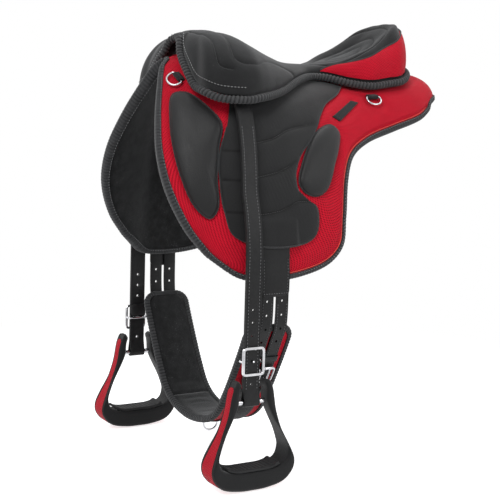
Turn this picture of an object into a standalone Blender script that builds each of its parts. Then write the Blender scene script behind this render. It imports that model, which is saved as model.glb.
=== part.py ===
"""Endurance saddle: soft body with flaps, quilted fenders, blocks, seat, leathers, stirrups and girth.

Run it with: blender --background --python part.py
Shapes are drawn in millimetres and stored in metres. X points to the rider's left, Y to the rear, Z up.
The origin is on the ceiling of the gullet, where the saddle meets the horse's back.
Left pieces are modelled, and right pieces share their meshes through a mirroring scale.
"""

import math

import bmesh
import bpy
from mathutils import Matrix, Vector

MM = 0.001

# Cross-sections of the padded body, front to rear:
# place, ridge height, half width, depth from ridge to widest point, fullness of the shoulder
SECTIONS = (
    (-345, 20.0, 157, 328, 0.90),
    (-300, 34.0, 161, 345, 1.02),
    (-265, 42.0, 167, 358, 1.40),
    (-205, 54.0, 197, 374, 2.15),
    (-130, 39.0, 202, 363, 2.30),
    (-50, 20.0, 197, 340, 2.40),
    (0, 14.3, 188, 305, 2.45),
    (80, 17.0, 161, 215, 2.55),
    (150, 25.0, 148, 160, 2.60),
    (200, 31.0, 136, 128, 2.60),
    (240, 32.0, 120, 108, 2.60),
    (258, 28.5, 110, 98, 2.60),
    (268, 23.5, 98, 92, 2.60),
    (277, 14.0, 84, 88, 2.60),
    (283, 3.0, 66, 84, 2.60),
    (288, -9.5, 48, 80, 2.60),
)

# Outlines in side view, as place along the saddle and height
FRONT_EDGE = (
    (-269, 40), (-284, 26), (-299, -8), (-317, -60), (-329, -118), (-325, -178), (-300, -240), (-266, -285),
)
LOWER_EDGE = (
    (-266, -285), (-221, -318), (-160, -324), (-100, -318), (-44, -301), (-13, -272), (-6, -225),
    (4, -162), (24, -120), (66, -93), (135, -69), (200, -49), (234, -31),
)
REAR_END, REAR_END_Z, REAR_RISE = 286.5, -6.5, 0.4
SEAT_EDGE = (
    (-238, 49), (-250, 37), (-253, 10), (-249, -16), (-228, -38), (-200, -44), (-165, -38), (-125, -26),
    (-69, -6), (-22, 5), (24, 7), (65, -1), (108, -4), (150, 2), (175, 6), (192, 12.5), (206, 20.2),
    (216, 26.3), (223, 30.3), (227, 31.8),
)
FENDER_TOP = ((-212, -30), (-165, -23), (-125, -13), (-69, 0), (-22, 8.5), (24, 8.5), (42, 4.5), (52, 0))
FENDER_BOTTOM = ((-204, -264), (-183, -269), (-150, -270.5), (-118, -268), (-96, -264))
FENDER_FRONT = (
    (-212, -30), (-224, -75), (-237, -112), (-242, -137), (-243, -160), (-243, -187), (-240, -212),
    (-230, -248), (-204, -264),
)
FENDER_REAR = (
    (52, 0), (28, -15), (-8, -32), (-31, -52), (-46, -71), (-69, -95), (-95, -119), (-110, -145),
    (-112, -168), (-105, -186), (-87, -197), (-72, -207), (-71, -237), (-79, -254), (-96, -264),
)
KNEE_BLOCK = (
    (-284, -24), (-262, -21), (-240, -46), (-230, -70), (-239, -108), (-247, -160), (-249, -207),
    (-263, -224), (-287, -203), (-302, -158), (-305, -104), (-297, -58),
)
THIGH_BLOCK = (
    (-14, -67), (1, -79), (-6, -103), (-24, -136), (-44, -174), (-66, -187), (-92, -182), (-105, -165),
    (-96, -138), (-74, -104), (-48, -79),
)
LABEL = ((-1, -52), (54, -23), (69, -26), (12, -60))
LABEL_COLUMNS, LABEL_ROWS = 4, 3

# Layers, as heights above the outer face of the body
SHELL_BACK = -6.0
LINING_FACE, LINING_BACK = -6.6, -14.2
PANEL_FACE, PANEL_DEPTH = -15.4, 13.0
BED = 1.5
BINDING_INSET = 6.0
BINDING_GAP = 2.1

# Grid of the body, shared by shell, lining and binding so that their facets run parallel
BODY_COLUMNS, BODY_ROWS = 22, 9
PANEL_COLUMNS, PANEL_ROWS = (6, 20), (2, 7)

# Seat: middle line, lower edge, rim of the cantle and top of its red band
SEAT_LINE = (
    (-205, 92), (-183, 89), (-154, 77), (-99, 55), (-69, 46), (-33, 43), (0, 43), (34, 46), (75, 54),
    (124, 69), (165, 93), (190, 114), (203, 123),
)
SEAT_LIFT, SEAT_EDGE_THICK = 8.2, 9.0
SEAT_FULLNESS = ((-238, 2.2), (-100, 2.4), (20, 2.6), (90, 3.2), (170, 2.7), (227, 2.0))
STRAP_ROOM, HANGER_ROOM, HANGER_ROOM_AHEAD, HANGER_ROOM_BEHIND = 19.0, 4.4, 44.0, 62.0
ARCH_ROOM = 4.0
SEAT_BINDING_RADIUS = 5.6
CANTLE_RIM = ((20, 0), (60, 5), (110, 15), (168, 17), (203, 9), (227, 6))
CANTLE_CREST = ((20, 0.3), (60, 0.14), (110, 0.2), (168, 0.33), (215, 0.4))
CANTLE_BAND = ((20, 5), (34, 12), (52, 22), (108, 43), (164, 60), (205, 69), (227, 71))
CANTLE_BAND_FOOT = 3.8
SEAT_STATIONS, SEAT_STEPS, SEAT_UNDER_STEPS = 31, 8, 4

# Stirrup leather and what it carries
LEATHER_Y, LEATHER_X, LEATHER_TOP_Y = -209.0, 217.0, -198.0
LEATHER_WIDTH, LEATHER_THICK, STRAP_GAP = 29.5, 6.4, 1.9
PIVOT_Z, PIN_RADIUS, EYE_RADIUS, EYE_WIDTH = 8.0, 4.0, 8.5, 6.5
PIN_TOE = 6.0
HANGER_Z, HANGER_BAR, HANGER_WIDTH = -16.0, 2.6, 42.0
BOLT_Z, BOLT_RADIUS = -524.0, 4.5
HOLE_ZS = (-370.0, -391.0, -412.0, -494.0)
PEG_Z = -455.0
BUCKLE_WIDTH, BUCKLE_HEIGHT, BUCKLE_WIRE = 38.0, 44.0, 3.1

# Stirrup in its own plane: half width at heights below the bolt
STIRRUP_OUTER = (
    (40, 30), (21, 38), (-19, 46), (-53, 58), (-81, 71), (-104, 79), (-121, 75), (-137, 58), (-144, 27),
    (-145, 0),
)
STIRRUP_INNER = (
    (34, 22), (21, 26), (-2, 28), (-30, 41), (-50, 53), (-70, 63), (-84, 67), (-101, 62), (-111, 45),
    (-114, 24), (-115, 0),
)
STIRRUP_STATIONS = 27
ARM_DEPTH, TREAD_DEPTH, TREAD_Z = 28.0, 46.0, -112.5

# Billets and girth
BILLET_Y, BILLET_WIDTH, BILLET_GAP, BILLET_THICK = -160.0, 24.5, 5.0, 3.2
BILLET_TOP_Z, BILLET_PIVOT_Z, BILLET_SPLIT_Z = -243.0, -256.0, -348.0
BILLET_HOLE_ZS = (-360.0, -384.0, -408.0, -432.0)
GIRTH_Y, GIRTH_WIDTH = -160.0, 92.0
GIRTH_PATH = ((196, -405), (180, -440), (153, -490), (125, -537), (98, -573), (62, -594), (0, -604))
GIRTH_CORNER = 24.0
GIRTH_STATIONS = 20
BILLET_LIFT, BILLET_END = 5.9, 128.0
KEEPER_AT, KEEPER_WIDTH = 63.0, 11.0
GIRTH_BUCKLE_AT, GIRTH_BUCKLE_LIFT, GIRTH_BUCKLE_HEIGHT, GIRTH_WIRE = 95.0, 12.1, 30.0, 1.9
CHAPE_HALF, CHAPE_LINE = 7.0, ((112, 7.9), (122, 7.9), (133, 7.6), (145, 5.2), (160, 5.2))
CENTRE_STRAP_START = 134.0


class Profile:
    """A value that changes smoothly with its place, through the given points and never past them."""

    def __init__(self, points):
        self.xs = [p[0] for p in points]
        self.ys = [p[1] for p in points]
        steps = [b - a for a, b in zip(self.xs, self.xs[1:])]
        rises = [(b - a) / h for a, b, h in zip(self.ys, self.ys[1:], steps)]
        self.slopes = [rises[0]]
        for a, b in zip(rises, rises[1:]):
            self.slopes.append(0.0 if a * b <= 0 else 2 * a * b / (a + b))
        self.slopes.append(rises[-1])

    def __call__(self, x):
        x = min(max(x, self.xs[0]), self.xs[-1])
        i = 0
        while i < len(self.xs) - 2 and x > self.xs[i + 1]:
            i += 1
        h = self.xs[i + 1] - self.xs[i]
        t = (x - self.xs[i]) / h
        a = (1 + 2 * t) * (1 - t) ** 2 * self.ys[i] + t * t * (3 - 2 * t) * self.ys[i + 1]
        b = t * (1 - t) ** 2 * h * self.slopes[i] + t * t * (t - 1) * h * self.slopes[i + 1]
        return a + b


class Route:
    """A smooth curve through chosen points, read by the share of its length from 0 to 1."""

    def __init__(self, points, closed=False):
        self.points = [Vector(p) for p in points]
        if closed:
            self.points.append(self.points[0])
        self.at_length = [0.0]
        for a, b in zip(self.points, self.points[1:]):
            self.at_length.append(self.at_length[-1] + (b - a).length)
        last = len(self.points) - 1
        self.tangents = []
        for i in range(last + 1):
            before, after = i - 1, i + 1
            if closed and i in (0, last):
                across = self.points[1] - self.points[last - 1]
                span = self.at_length[1] + self.at_length[last] - self.at_length[last - 1]
            else:
                before, after = max(before, 0), min(after, last)
                across = self.points[after] - self.points[before]
                span = self.at_length[after] - self.at_length[before]
            self.tangents.append(across / span)

    def __call__(self, share):
        s = share * self.at_length[-1]
        i = 0
        while i < len(self.points) - 2 and s > self.at_length[i + 1]:
            i += 1
        h = self.at_length[i + 1] - self.at_length[i]
        t = (s - self.at_length[i]) / h
        a = (1 + 2 * t) * (1 - t) ** 2 * self.points[i] + t * t * (3 - 2 * t) * self.points[i + 1]
        b = t * (1 - t) ** 2 * h * self.tangents[i] + t * t * (t - 1) * h * self.tangents[i + 1]
        return a + b

    def even(self, count):
        return [self(i / (count - 1)) for i in range(count)]


def smoothstep(low, high, x):
    t = min(max((x - low) / (high - low), 0.0), 1.0)
    return t * t * (3 - 2 * t)


# Form of the body

RIDGE, HALF, DEPTH, FULL = (Profile([(s[0], s[k]) for s in SECTIONS]) for k in (1, 2, 3, 4))


def skin_point(y, q):
    """Point on the outer face, left side: q is 0 on the ridge and a quarter turn at the widest point."""
    x = HALF(y) * max(math.sin(max(q, 0.0)), 0.0) ** (2 / FULL(y))
    return Vector((x, y, RIDGE(y) - DEPTH(y) * (1 - math.cos(q))))


def skin_tangents(y, q):
    low = max(q - 0.01, 0.0)
    along = (skin_point(y + 1, q) - skin_point(y - 1, q)) / 2
    down = (skin_point(y, q + 0.01) - skin_point(y, low)) / (q + 0.01 - low)
    return along, down


def skin_normal(y, q):
    along, down = skin_tangents(y, q)
    normal = down.cross(along).normalized()
    if normal.z < 0 and normal.x < 0:
        normal.negate()
    x = skin_point(y, q).x
    normal.x *= smoothstep(0, 22, x)
    return normal.normalized()


def body(y, q, lift=0.0):
    """Point at a height above the outer face. Near the ridge the height is taken upright."""
    point = skin_point(y, q) + skin_normal(y, q) * lift
    point.x = max(point.x, 0.0)
    return point


def turn_at(y, z):
    """q of the point of the outer face at this place and height."""
    return math.acos(min(max(1 - (RIDGE(y) - z) / DEPTH(y), -1.0), 1.0))


def slide(y, q, step, parts=4):
    """The place reached from (y, q) by a short way along the outer face."""
    for _ in range(parts):
        along, down = skin_tangents(y, q)
        a, b, c = along.dot(along), along.dot(down), down.dot(down)
        p, r = step.dot(along) / parts, step.dot(down) / parts
        det = a * c - b * b
        y, q = y + (p * c - r * b) / det, max(q + (r * a - p * b) / det, 0.001)
    return y, q


def on_body(outline, count, closed=False, crowd=0.0):
    """(y, q) of points along an outline that is given in side view. crowd draws them towards its end."""
    route = Route(outline, closed)
    shares = [i / (count if closed else count - 1) for i in range(count)]
    places = [route((1 - crowd) * t + crowd * math.sin(math.pi / 2 * t)) for t in shares]
    return [(p[0], turn_at(p[0], p[1])) for p in places]


# Meshes and objects


def finish(name, vertices, faces, skin, smooth=True):
    mesh = bpy.data.meshes.new(name)
    mesh.from_pydata([Vector(v) * MM for v in vertices], [], faces)
    mesh.materials.append(skin)
    form = bmesh.new()
    form.from_mesh(mesh)
    bmesh.ops.remove_doubles(form, verts=form.verts, dist=1e-6)
    bmesh.ops.dissolve_degenerate(form, edges=form.edges, dist=1e-7)
    bmesh.ops.recalc_face_normals(form, faces=form.faces)
    if form.calc_volume(signed=True) < 0:
        bmesh.ops.reverse_faces(form, faces=form.faces)
    form.to_mesh(mesh)
    form.free()
    if smooth:
        mesh.shade_smooth()
        mesh.set_sharp_from_angle(angle=math.radians(40))
    obj = bpy.data.objects.new(name, mesh)
    bpy.context.scene.collection.objects.link(obj)
    return obj


def grid_faces(rows, columns, start=0, flip=False):
    faces = []
    for i in range(rows - 1):
        for j in range(columns - 1):
            a = start + i * columns + j
            face = (a, a + 1, a + columns + 1, a + columns)
            faces.append((a,) + face[:0:-1] if flip else face)
    return faces


def slab(name, top, under, skin):
    """Closed body between two grids of points of the same size."""
    rows, columns = len(top), len(top[0])
    vertices = [p for row in top for p in row] + [p for row in under for p in row]
    half = rows * columns
    faces = grid_faces(rows, columns) + grid_faces(rows, columns, half, True)
    rim = [j for j in range(columns)]
    rim += [i * columns + columns - 1 for i in range(1, rows)]
    rim += [(rows - 1) * columns + j for j in range(columns - 2, -1, -1)]
    rim += [i * columns for i in range(rows - 2, 0, -1)]
    for a, b in zip(rim, rim[1:] + rim[:1]):
        faces.append((a, a + half, b + half, b))
    return finish(name, vertices, faces, skin)


def sweep(name, rings, skin, closed=False):
    """Closed body through rings of points. An open one gets flat ends."""
    sides = len(rings[0])
    vertices = [p for ring in rings for p in ring]
    faces = []
    spans = len(rings) if closed else len(rings) - 1
    for i in range(spans):
        k = (i + 1) % len(rings)
        for j in range(sides):
            m = (j + 1) % sides
            faces.append((i * sides + j, i * sides + m, k * sides + m, k * sides + j))
    if not closed:
        faces.append(tuple(range(sides))[::-1])
        faces.append(tuple((len(rings) - 1) * sides + j for j in range(sides)))
    return finish(name, vertices, faces, skin)


def whole_loop(rows):
    """Rows of the left side followed by those of the right side, from front to rear and back."""
    far = [[Vector((-p.x, p.y, p.z)) for p in row] for row in rows[-2:0:-1]]
    return rows + far


def on_centre(rows):
    for row in (rows[0], rows[-1]):
        for point in row:
            point.x = 0.0
    return rows


def tube_rings(path, radius, sides, up, closed=False):
    """Round rings along a path that lies in the plane square to up."""
    rings = []
    count = len(path)
    for i, p in enumerate(path):
        ahead = path[(i + 1) % count] if closed or i < count - 1 else p
        behind = path[i - 1] if closed or i > 0 else p
        across = (ahead - behind).cross(up).normalized()
        turns = [2 * math.pi * (j + 0.5) / sides for j in range(sides)]
        rings.append([p + across * radius * math.cos(t) + up * radius * math.sin(t) for t in turns])
    return rings


def prism(name, outline, low, high, axis, skin):
    """Closed body with a flat outline, drawn from low to high along an axis."""
    count = len(outline)
    vertices = [Vector(p) + axis * low for p in outline] + [Vector(p) + axis * high for p in outline]
    faces = [tuple(range(count))[::-1], tuple(range(count, 2 * count))]
    for i in range(count):
        k = (i + 1) % count
        faces.append((i, k, count + k, count + i))
    return finish(name, vertices, faces, skin)


def cylinder(name, centre, axis, radius, length, sides, skin):
    axis = axis.normalized()
    side = axis.orthogonal().normalized()
    other = axis.cross(side)
    turns = [2 * math.pi * (j + 0.5) / sides for j in range(sides)]
    ring = [centre + side * radius * math.cos(t) + other * radius * math.sin(t) for t in turns]
    return prism(name, ring, -length / 2, length / 2, axis, skin)


def modify(obj, helper, operation):
    helper.hide_render = True
    helper.display_type = "WIRE"
    change = obj.modifiers.new(helper.name, "BOOLEAN")
    change.operation = operation
    change.object = helper


def bake(obj):
    """The object's evaluated mesh becomes its own, and the helpers of its modifiers go."""
    graph = bpy.context.evaluated_depsgraph_get()
    mesh = bpy.data.meshes.new_from_object(obj.evaluated_get(graph))
    helpers = [change.object for change in obj.modifiers if change.type == "BOOLEAN"]
    obj.modifiers.clear()
    obj.data = mesh
    for helper in helpers:
        bpy.data.objects.remove(helper)


def pivot(name, place, parent=None):
    empty = bpy.data.objects.new(name, None)
    empty.empty_display_size = 0.02
    empty["place"] = [c * MM for c in place]
    base = Vector(parent["place"]) if parent else Vector()
    empty.location = Vector(place) * MM - base
    empty.parent = parent
    bpy.context.scene.collection.objects.link(empty)
    return empty


def hang(obj, empty):
    """Puts the object's origin on its joint without moving the shape."""
    obj.data.transform(Matrix.Translation(-Vector(empty["place"])))
    obj.parent = empty


def mirrored(obj, empty=None):
    copy = obj.copy()
    copy.name = obj.name.replace("_left", "_right")
    copy.scale = (-1, 1, 1)
    copy.parent = empty
    bpy.context.scene.collection.objects.link(copy)
    return copy


def both_sides(obj, empties=None):
    """Hangs a left piece on its joint, where it has one, and adds the right one."""
    if empties:
        hang(obj, empties[0])
        mirrored(obj, empties[1])
    else:
        mirrored(obj)


def pivot_pair(name, place, parents=(None, None)):
    x, y, z = place
    left = pivot(name.replace("side", "left"), (x, y, z), parents[0])
    right = pivot(name.replace("side", "right"), (-x, y, z), parents[1])
    return left, right


def make_material(name, colour, roughness, metallic=0.0):
    material = bpy.data.materials.new(name)
    material.use_nodes = True
    shader = material.node_tree.nodes["Principled BSDF"]
    shader.inputs["Base Color"].default_value = (*colour, 1)
    shader.inputs["Roughness"].default_value = roughness
    shader.inputs["Metallic"].default_value = metallic
    material.diffuse_color = (*colour, 1)
    return material


# Soft body: red shells over suede linings, with foam panels under them and a binding round the edge


def body_edge():
    """(y, q) along the front edge, the lower edge and the rear edge of the left side."""
    front = on_body(FRONT_EDGE, BODY_ROWS + 1)
    front[0] = (FRONT_EDGE[0][0], 0.0)
    lower = on_body(LOWER_EDGE, BODY_COLUMNS + 1, crowd=0.6)
    corner_y, corner_z = LOWER_EDGE[-1]
    rear = []
    for i in range(BODY_ROWS + 1):
        turn = math.pi / 2 * i / BODY_ROWS
        y = corner_y + (REAR_END - corner_y) * math.cos(turn)
        rise = max(math.cos(turn), 0.0) ** REAR_RISE
        rear.append((y, turn_at(y, corner_z + (REAR_END_Z - corner_z) * rise)))
    rear[0] = (REAR_END, 0.0)
    return front, lower, rear


def edge_frames(edge):
    """Point, mitred outward direction and normal along a whole edge of the left side."""
    points = [skin_point(y, q) for y, q in edge]
    last = len(points) - 1
    frames = []
    for i, (y, q) in enumerate(edge):
        normal = skin_normal(y, q)
        if i in (0, last):
            across = Vector((-1, 0, 0)) if i else Vector((1, 0, 0))
            outward = across.cross(normal).normalized()
        else:
            ahead = (points[i + 1] - points[i]).cross(normal).normalized()
            behind = (points[i] - points[i - 1]).cross(normal).normalized()
            outward = (ahead + behind).normalized()
            outward /= max(outward.dot(ahead), 0.7)
        frames.append((points[i], outward, normal))
    return frames


def inset_edge(edge, distance):
    moved = []
    for (y, q), (_, outward, _) in zip(edge, edge_frames(edge)):
        if q > 0.02:
            moved.append(slide(y, q, outward * -distance))
        else:
            along, _ = skin_tangents(y, q)
            moved.append((y - math.copysign(distance / along.length, outward.y), 0.0))
    return moved


def body_grid():
    """(y, q) of the shell's grid: rows from the ridge to the lower edge, columns from front to rear."""
    front, lower, rear = body_edge()
    edge = front + lower[1:] + rear[-2::-1]
    edge = inset_edge(edge, BINDING_INSET + BINDING_GAP)
    front = edge[: BODY_ROWS + 1]
    lower = edge[BODY_ROWS : BODY_ROWS + BODY_COLUMNS + 1]
    rear = edge[BODY_ROWS + BODY_COLUMNS :][::-1]
    first, last = front[0][0], rear[0][0]
    ridge = []
    for j in range(BODY_COLUMNS + 1):
        share = j / BODY_COLUMNS
        follow = (lower[j][0] - lower[0][0]) / (lower[-1][0] - lower[0][0])
        ridge.append((first + (last - first) * (0.55 * share + 0.45 * follow), 0.0))
    return patch(ridge, lower, front, rear)


def patch(upper, lower, front, rear):
    """Grid of (y, q) that blends between its four sides."""
    rows = []
    for i in range(len(front)):
        v = i / (len(front) - 1)
        row = []
        for j in range(len(upper)):
            t = j / (len(upper) - 1)
            place = []
            for k in (0, 1):
                between = (1 - v) * upper[j][k] + v * lower[j][k] + (1 - t) * front[i][k] + t * rear[i][k]
                corners = (1 - v) * ((1 - t) * upper[0][k] + t * upper[-1][k])
                corners += v * ((1 - t) * lower[0][k] + t * lower[-1][k])
                place.append(between - corners)
            row.append(tuple(place))
        rows.append(row)
    return rows


def layer(grid, lift, seam=0.2):
    """Points of a grid at one height, kept clear of the middle of the saddle."""
    rows = []
    for row in grid:
        points = []
        for y, q in row:
            point = body(y, max(q, 0.0), lift)
            point.x = max(point.x, seam)
            points.append(point)
        rows.append(points)
    return rows


def build_body(red, suede, black):
    grid = body_grid()
    both_sides(slab("flap_left", layer(grid, 0), layer(grid, SHELL_BACK), red))
    both_sides(slab("lining_left", layer(grid, LINING_FACE), layer(grid, LINING_BACK), suede))

    front, lower, rear = body_edge()
    edge = front + lower[1:] + rear[-2::-1]
    profile = ((1.0, 1.2), (2.6, -7.2), (1.0, -15.4))
    rings = []
    for (point, outward, normal), (y, q) in zip(edge_frames(edge), inset_edge(edge, BINDING_INSET)):
        ring = [body(y, q, 2.0)]
        ring += [point + outward * a + normal * b for a, b in profile]
        rings.append(ring + [body(y, q, -16.4)])
    on_centre(rings)
    sweep("edge_binding", whole_loop(rings), black, closed=True)

    part_of = [row[PANEL_COLUMNS[0] : PANEL_COLUMNS[1]] for row in grid[PANEL_ROWS[0] : PANEL_ROWS[1]]]
    face, back = [], []
    for i, row in enumerate(part_of):
        v = 2 * i / (len(part_of) - 1) - 1
        back_row = []
        for j, (y, q) in enumerate(row):
            u = 2 * j / (len(row) - 1) - 1
            full = ((1 - abs(u) ** 5) * (1 - abs(v) ** 3)) ** 0.7
            back_row.append(body(y, q, PANEL_FACE - 3 - (PANEL_DEPTH - 3) * full))
        face.append([body(y, q, PANEL_FACE) for y, q in row])
        back.append(back_row)
    both_sides(slab("panel_left", face, back, suede))


# Blocks and fender on the flap


def cushion(name, outline, sectors, bed, crown, skin):
    """Rounded pad over a closed outline, in rings round its middle."""
    edge = on_body(outline, sectors, closed=True)
    middle = (sum(y for y, _ in edge) / sectors, sum(q for _, q in edge) / sectors)
    sizes = (1.0, 0.94, 0.8, 0.58, 0.3)
    vertices, faces = [], []
    for top in (True, False):
        start = len(vertices)
        for size in sizes:
            lift = bed + 3 + crown * (1 - size**2.6) ** 0.6 if top else bed
            for y, q in edge:
                place = (middle[0] + (y - middle[0]) * size, middle[1] + (q - middle[1]) * size)
                vertices.append(body(*place, lift))
        vertices.append(body(*middle, bed + 3 + crown if top else bed))
        for k in range(len(sizes) - 1):
            a = start + k * sectors
            for j in range(sectors):
                m = (j + 1) % sectors
                faces.append((a + j, a + m, a + sectors + m, a + sectors + j))
        inner = start + (len(sizes) - 1) * sectors
        for j in range(sectors):
            faces.append((inner + j, inner + (j + 1) % sectors, len(vertices) - 1))
    half = len(sizes) * sectors + 1
    for j in range(sectors):
        m = (j + 1) % sectors
        faces.append((j, m, half + m, half + j))
    return finish(name, vertices, faces, skin)


CHANNELS = (
    Profile(((-243, -114), (-213, -114), (-187, -102), (-149, -93), (-117, -79), (-57, -67))),
    Profile(((-243, -161), (-213, -161), (-184, -155), (-144, -146), (-109, -130))),
    Profile(((-243, -213), (-213, -213), (-189, -216), (-155, -212), (-112, -196))),
)
CHANNEL_HALF = 8.0
FENDER_COLUMNS, FENDER_ROWS = 11, 16
FENDER_BASE, FENDER_CROWN, STRAP_VALLEY = 2.6, 4.6, 1.4
SEAT_SIDE = Profile(SEAT_EDGE[4:])


def billet_room(y, z):
    """Extra height over the billets where they pass under the fender."""
    across = smoothstep(-216, -197, y) * (1 - smoothstep(-123, -106, y))
    hollow = skin_point(BILLET_Y, turn_at(BILLET_Y, z)).x - skin_point(y, turn_at(y, z)).x
    return (5.4 + max(hollow, 0.0)) * across * (1 - smoothstep(-228, -214, z))


def fender_height(u, v, y, z):
    """Height of the quilted face over the flap: thin at its edges, under the seat and under the leather."""
    edge = (1 - abs(2 * u - 1) ** 7) * (1 - (1 - v) ** 9) * (1 - v**14)
    channel = max(math.exp(-(((z - line(y)) / CHANNEL_HALF) ** 2)) for line in CHANNELS)
    clear_of_seat = smoothstep(4, 30, SEAT_SIDE(y) - z)
    under_strap = math.exp(-(((y - LEATHER_Y - leather_shift(z)) / 27) ** 6))
    crown = (FENDER_CROWN * edge**0.6 - 4.0 * channel * edge) * clear_of_seat
    return FENDER_BASE + crown * (1 - under_strap) + STRAP_VALLEY * under_strap * clear_of_seat


def build_fender(black):
    grid = patch(
        on_body(FENDER_TOP, FENDER_COLUMNS + 1),
        on_body(FENDER_BOTTOM, FENDER_COLUMNS + 1),
        on_body(FENDER_FRONT, FENDER_ROWS + 1),
        on_body(FENDER_REAR, FENDER_ROWS + 1),
    )
    top, under = [], []
    for i, row in enumerate(grid):
        top_row, under_row = [], []
        for j, (y, q) in enumerate(row):
            z = skin_point(y, q).z
            room = billet_room(y, z)
            height = fender_height(j / FENDER_COLUMNS, i / FENDER_ROWS, y, z)
            top_row.append(body(y, q, BED + max(height, room + FENDER_BASE)))
            under_row.append(body(y, q, BED + room))
        top.append(top_row)
        under.append(under_row)
    both_sides(slab("fender_left", top, under, black))


# Seat


def seat_lift(y, across):
    """Room between body and seat, with a pocket for the leather's top and its hanger."""
    ahead = LEATHER_TOP_Y - y
    near = math.exp(-((ahead / HANGER_ROOM_AHEAD) ** 12))
    if ahead < 0:
        near = math.exp(-((ahead / HANGER_ROOM_BEHIND) ** 4))
    beside = 1 - smoothstep(0.55, 0.8, across)
    lift = SEAT_LIFT + near * beside * (STRAP_ROOM + HANGER_ROOM * smoothstep(0, 0.2, across))
    return lift + ARCH_ROOM * smoothstep(0.4, 0.6, across) * (1 - smoothstep(-180, -150, y))


def seat_edge():
    """(y, q) of the seat's lower edge, inside its binding."""
    edge = on_body(SEAT_EDGE, SEAT_STATIONS)
    edge[0] = (edge[0][0], 0.0)
    edge[-1] = (edge[-1][0], 0.0)
    return edge, inset_edge(edge, SEAT_BINDING_RADIUS + 0.6)


SEAT_MIDDLE, SEAT_FULL = Profile(SEAT_LINE), Profile(SEAT_FULLNESS)
RIM_HEIGHT, RIM_PLACE, BAND_HEIGHT = Profile(CANTLE_RIM), Profile(CANTLE_CREST), Profile(CANTLE_BAND)


def seat_top(y, q, w):
    """Point of the seat's upper face: w runs from 0 on the lower edge to 1 on the middle line."""
    middle_y = min(max(y, SEAT_LINE[0][0]), SEAT_LINE[-1][0])
    middle = Vector((0, middle_y, SEAT_MIDDLE(middle_y)))
    foot = body(y, q, seat_lift(y, 0) + SEAT_EDGE_THICK)
    turn = w * math.pi / 2
    across = 1 - math.cos(turn) ** (2 / SEAT_FULL(y))
    point = foot.lerp(middle, across)
    point.z = foot.z + (middle.z - foot.z) * math.sin(turn) ** (2 / SEAT_FULL(y))
    point.z += RIM_HEIGHT(y) * math.exp(-(((across - RIM_PLACE(y)) / 0.24) ** 2)) * smoothstep(0, 0.3, w)
    return point


def seat_under(y, q, w):
    middle_y = min(max(y, SEAT_LINE[0][0]), SEAT_LINE[-1][0])
    across = 1 - math.cos(w * math.pi / 2) ** (2 / SEAT_FULL(y))
    return body(y + (middle_y - y) * across, q * (1 - across), seat_lift(y, across))


def build_seat(black, red, edge_black):
    outline, edge = seat_edge()
    faces, vertices, starts = [], [], []
    for face, steps in ((seat_top, SEAT_STEPS), (seat_under, SEAT_UNDER_STEPS)):
        rows = whole_loop(on_centre([[face(y, q, k / steps) for k in range(steps + 1)] for y, q in edge]))
        start, wide = len(vertices), steps + 1
        vertices += [p for row in rows for p in row]
        starts.append((start, wide))
        for i in range(len(rows)):
            k = (i + 1) % len(rows)
            for j in range(steps):
                a, b = start + i * wide + j, start + k * wide + j
                faces.append((a, b, b + 1, a + 1))
    (top, wide), (low, narrow) = starts
    for i in range(len(rows)):
        k = (i + 1) % len(rows)
        faces.append((top + i * wide, low + i * narrow, low + k * narrow, top + k * wide))
    finish("seat", vertices, faces, black)

    outer, inner = [], []
    for i, (y, q) in enumerate(edge):
        if y < CANTLE_BAND[0][0]:
            continue
        outer_row, inner_row = [], []
        foot, reach = wall_share(y, q, CANTLE_BAND_FOOT), wall_share(y, q, BAND_HEIGHT(y))
        for share in (0.0, 0.33, 0.67, 1.0):
            w = foot + (reach - foot) * share
            point = seat_top(y, q, w)
            ahead, behind = edge[min(i + 1, len(edge) - 1)], edge[i - 1]
            along = seat_top(*ahead, w) - seat_top(*behind, w)
            rise = seat_top(y, q, w + 0.02) - seat_top(y, q, max(w - 0.02, 0))
            normal = along.cross(rise).normalized()
            if q < 0.01:
                normal = Vector((0, 1, 0))
            outer_row.append(point + normal * 3.6)
            inner_row.append(point + normal * 1.5)
        outer.append(outer_row)
        inner.append(inner_row)
    for rows in (outer, inner):
        for point in rows[-1]:
            point.x = 0.0
        rows.extend([[Vector((-p.x, p.y, p.z)) for p in row] for row in rows[-2::-1]])
    slab("cantle_band", outer, inner, red)

    radius = SEAT_BINDING_RADIUS
    rings = []
    for i, (point, outward, normal) in enumerate(edge_frames(outline)):
        y, q = outline[i]
        centre = point + normal * (seat_lift(edge[i][0], 0) + 4.5)
        turns = [2 * math.pi * (j + 0.5) / 6 for j in range(6)]
        rings.append([centre + radius * (outward * math.cos(t) + normal * 1.25 * math.sin(t)) for t in turns])
    sweep("seat_binding", whole_loop(on_centre(rings)), edge_black, closed=True)


def wall_share(y, q, height):
    """Share of the seat's cross-section at a height above its lower edge."""
    target = seat_top(y, q, 0).z + height
    low, high = 0.0, 0.62
    for _ in range(12):
        middle = (low + high) / 2
        if seat_top(y, q, middle).z < target:
            low = middle
        else:
            high = middle
    return low


# Under the seat: stiff pommel arch and the webbing that carries both strap hangers


def band_over(name, y_low, y_high, turn, low, high, columns, rows, skin):
    """Strap or plate laid across the ridge, from one side to the other."""
    top, under = [], []
    for i in range(rows + 1):
        y = y_low + (y_high - y_low) * i / rows
        top_row, under_row = [], []
        for j in range(columns + 1):
            share = 2 * j / columns - 1
            q = abs(share) * turn
            for row, lift in ((top_row, high), (under_row, low)):
                point = body(y, q, lift)
                point.x = math.copysign(point.x, share)
                row.append(point)
        top.append(top_row)
        under.append(under_row)
    return slab(name, top, under, skin)


# Rings on the body


def surface_frame(y, q):
    """Point, rearward tangent, downward tangent and normal."""
    point = skin_point(y, q)
    normal = skin_normal(y, q)
    along, down = skin_tangents(y, q)
    down = (down - normal * down.dot(normal)).normalized()
    return point, normal.cross(down).normalized(), down, normal


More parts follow.
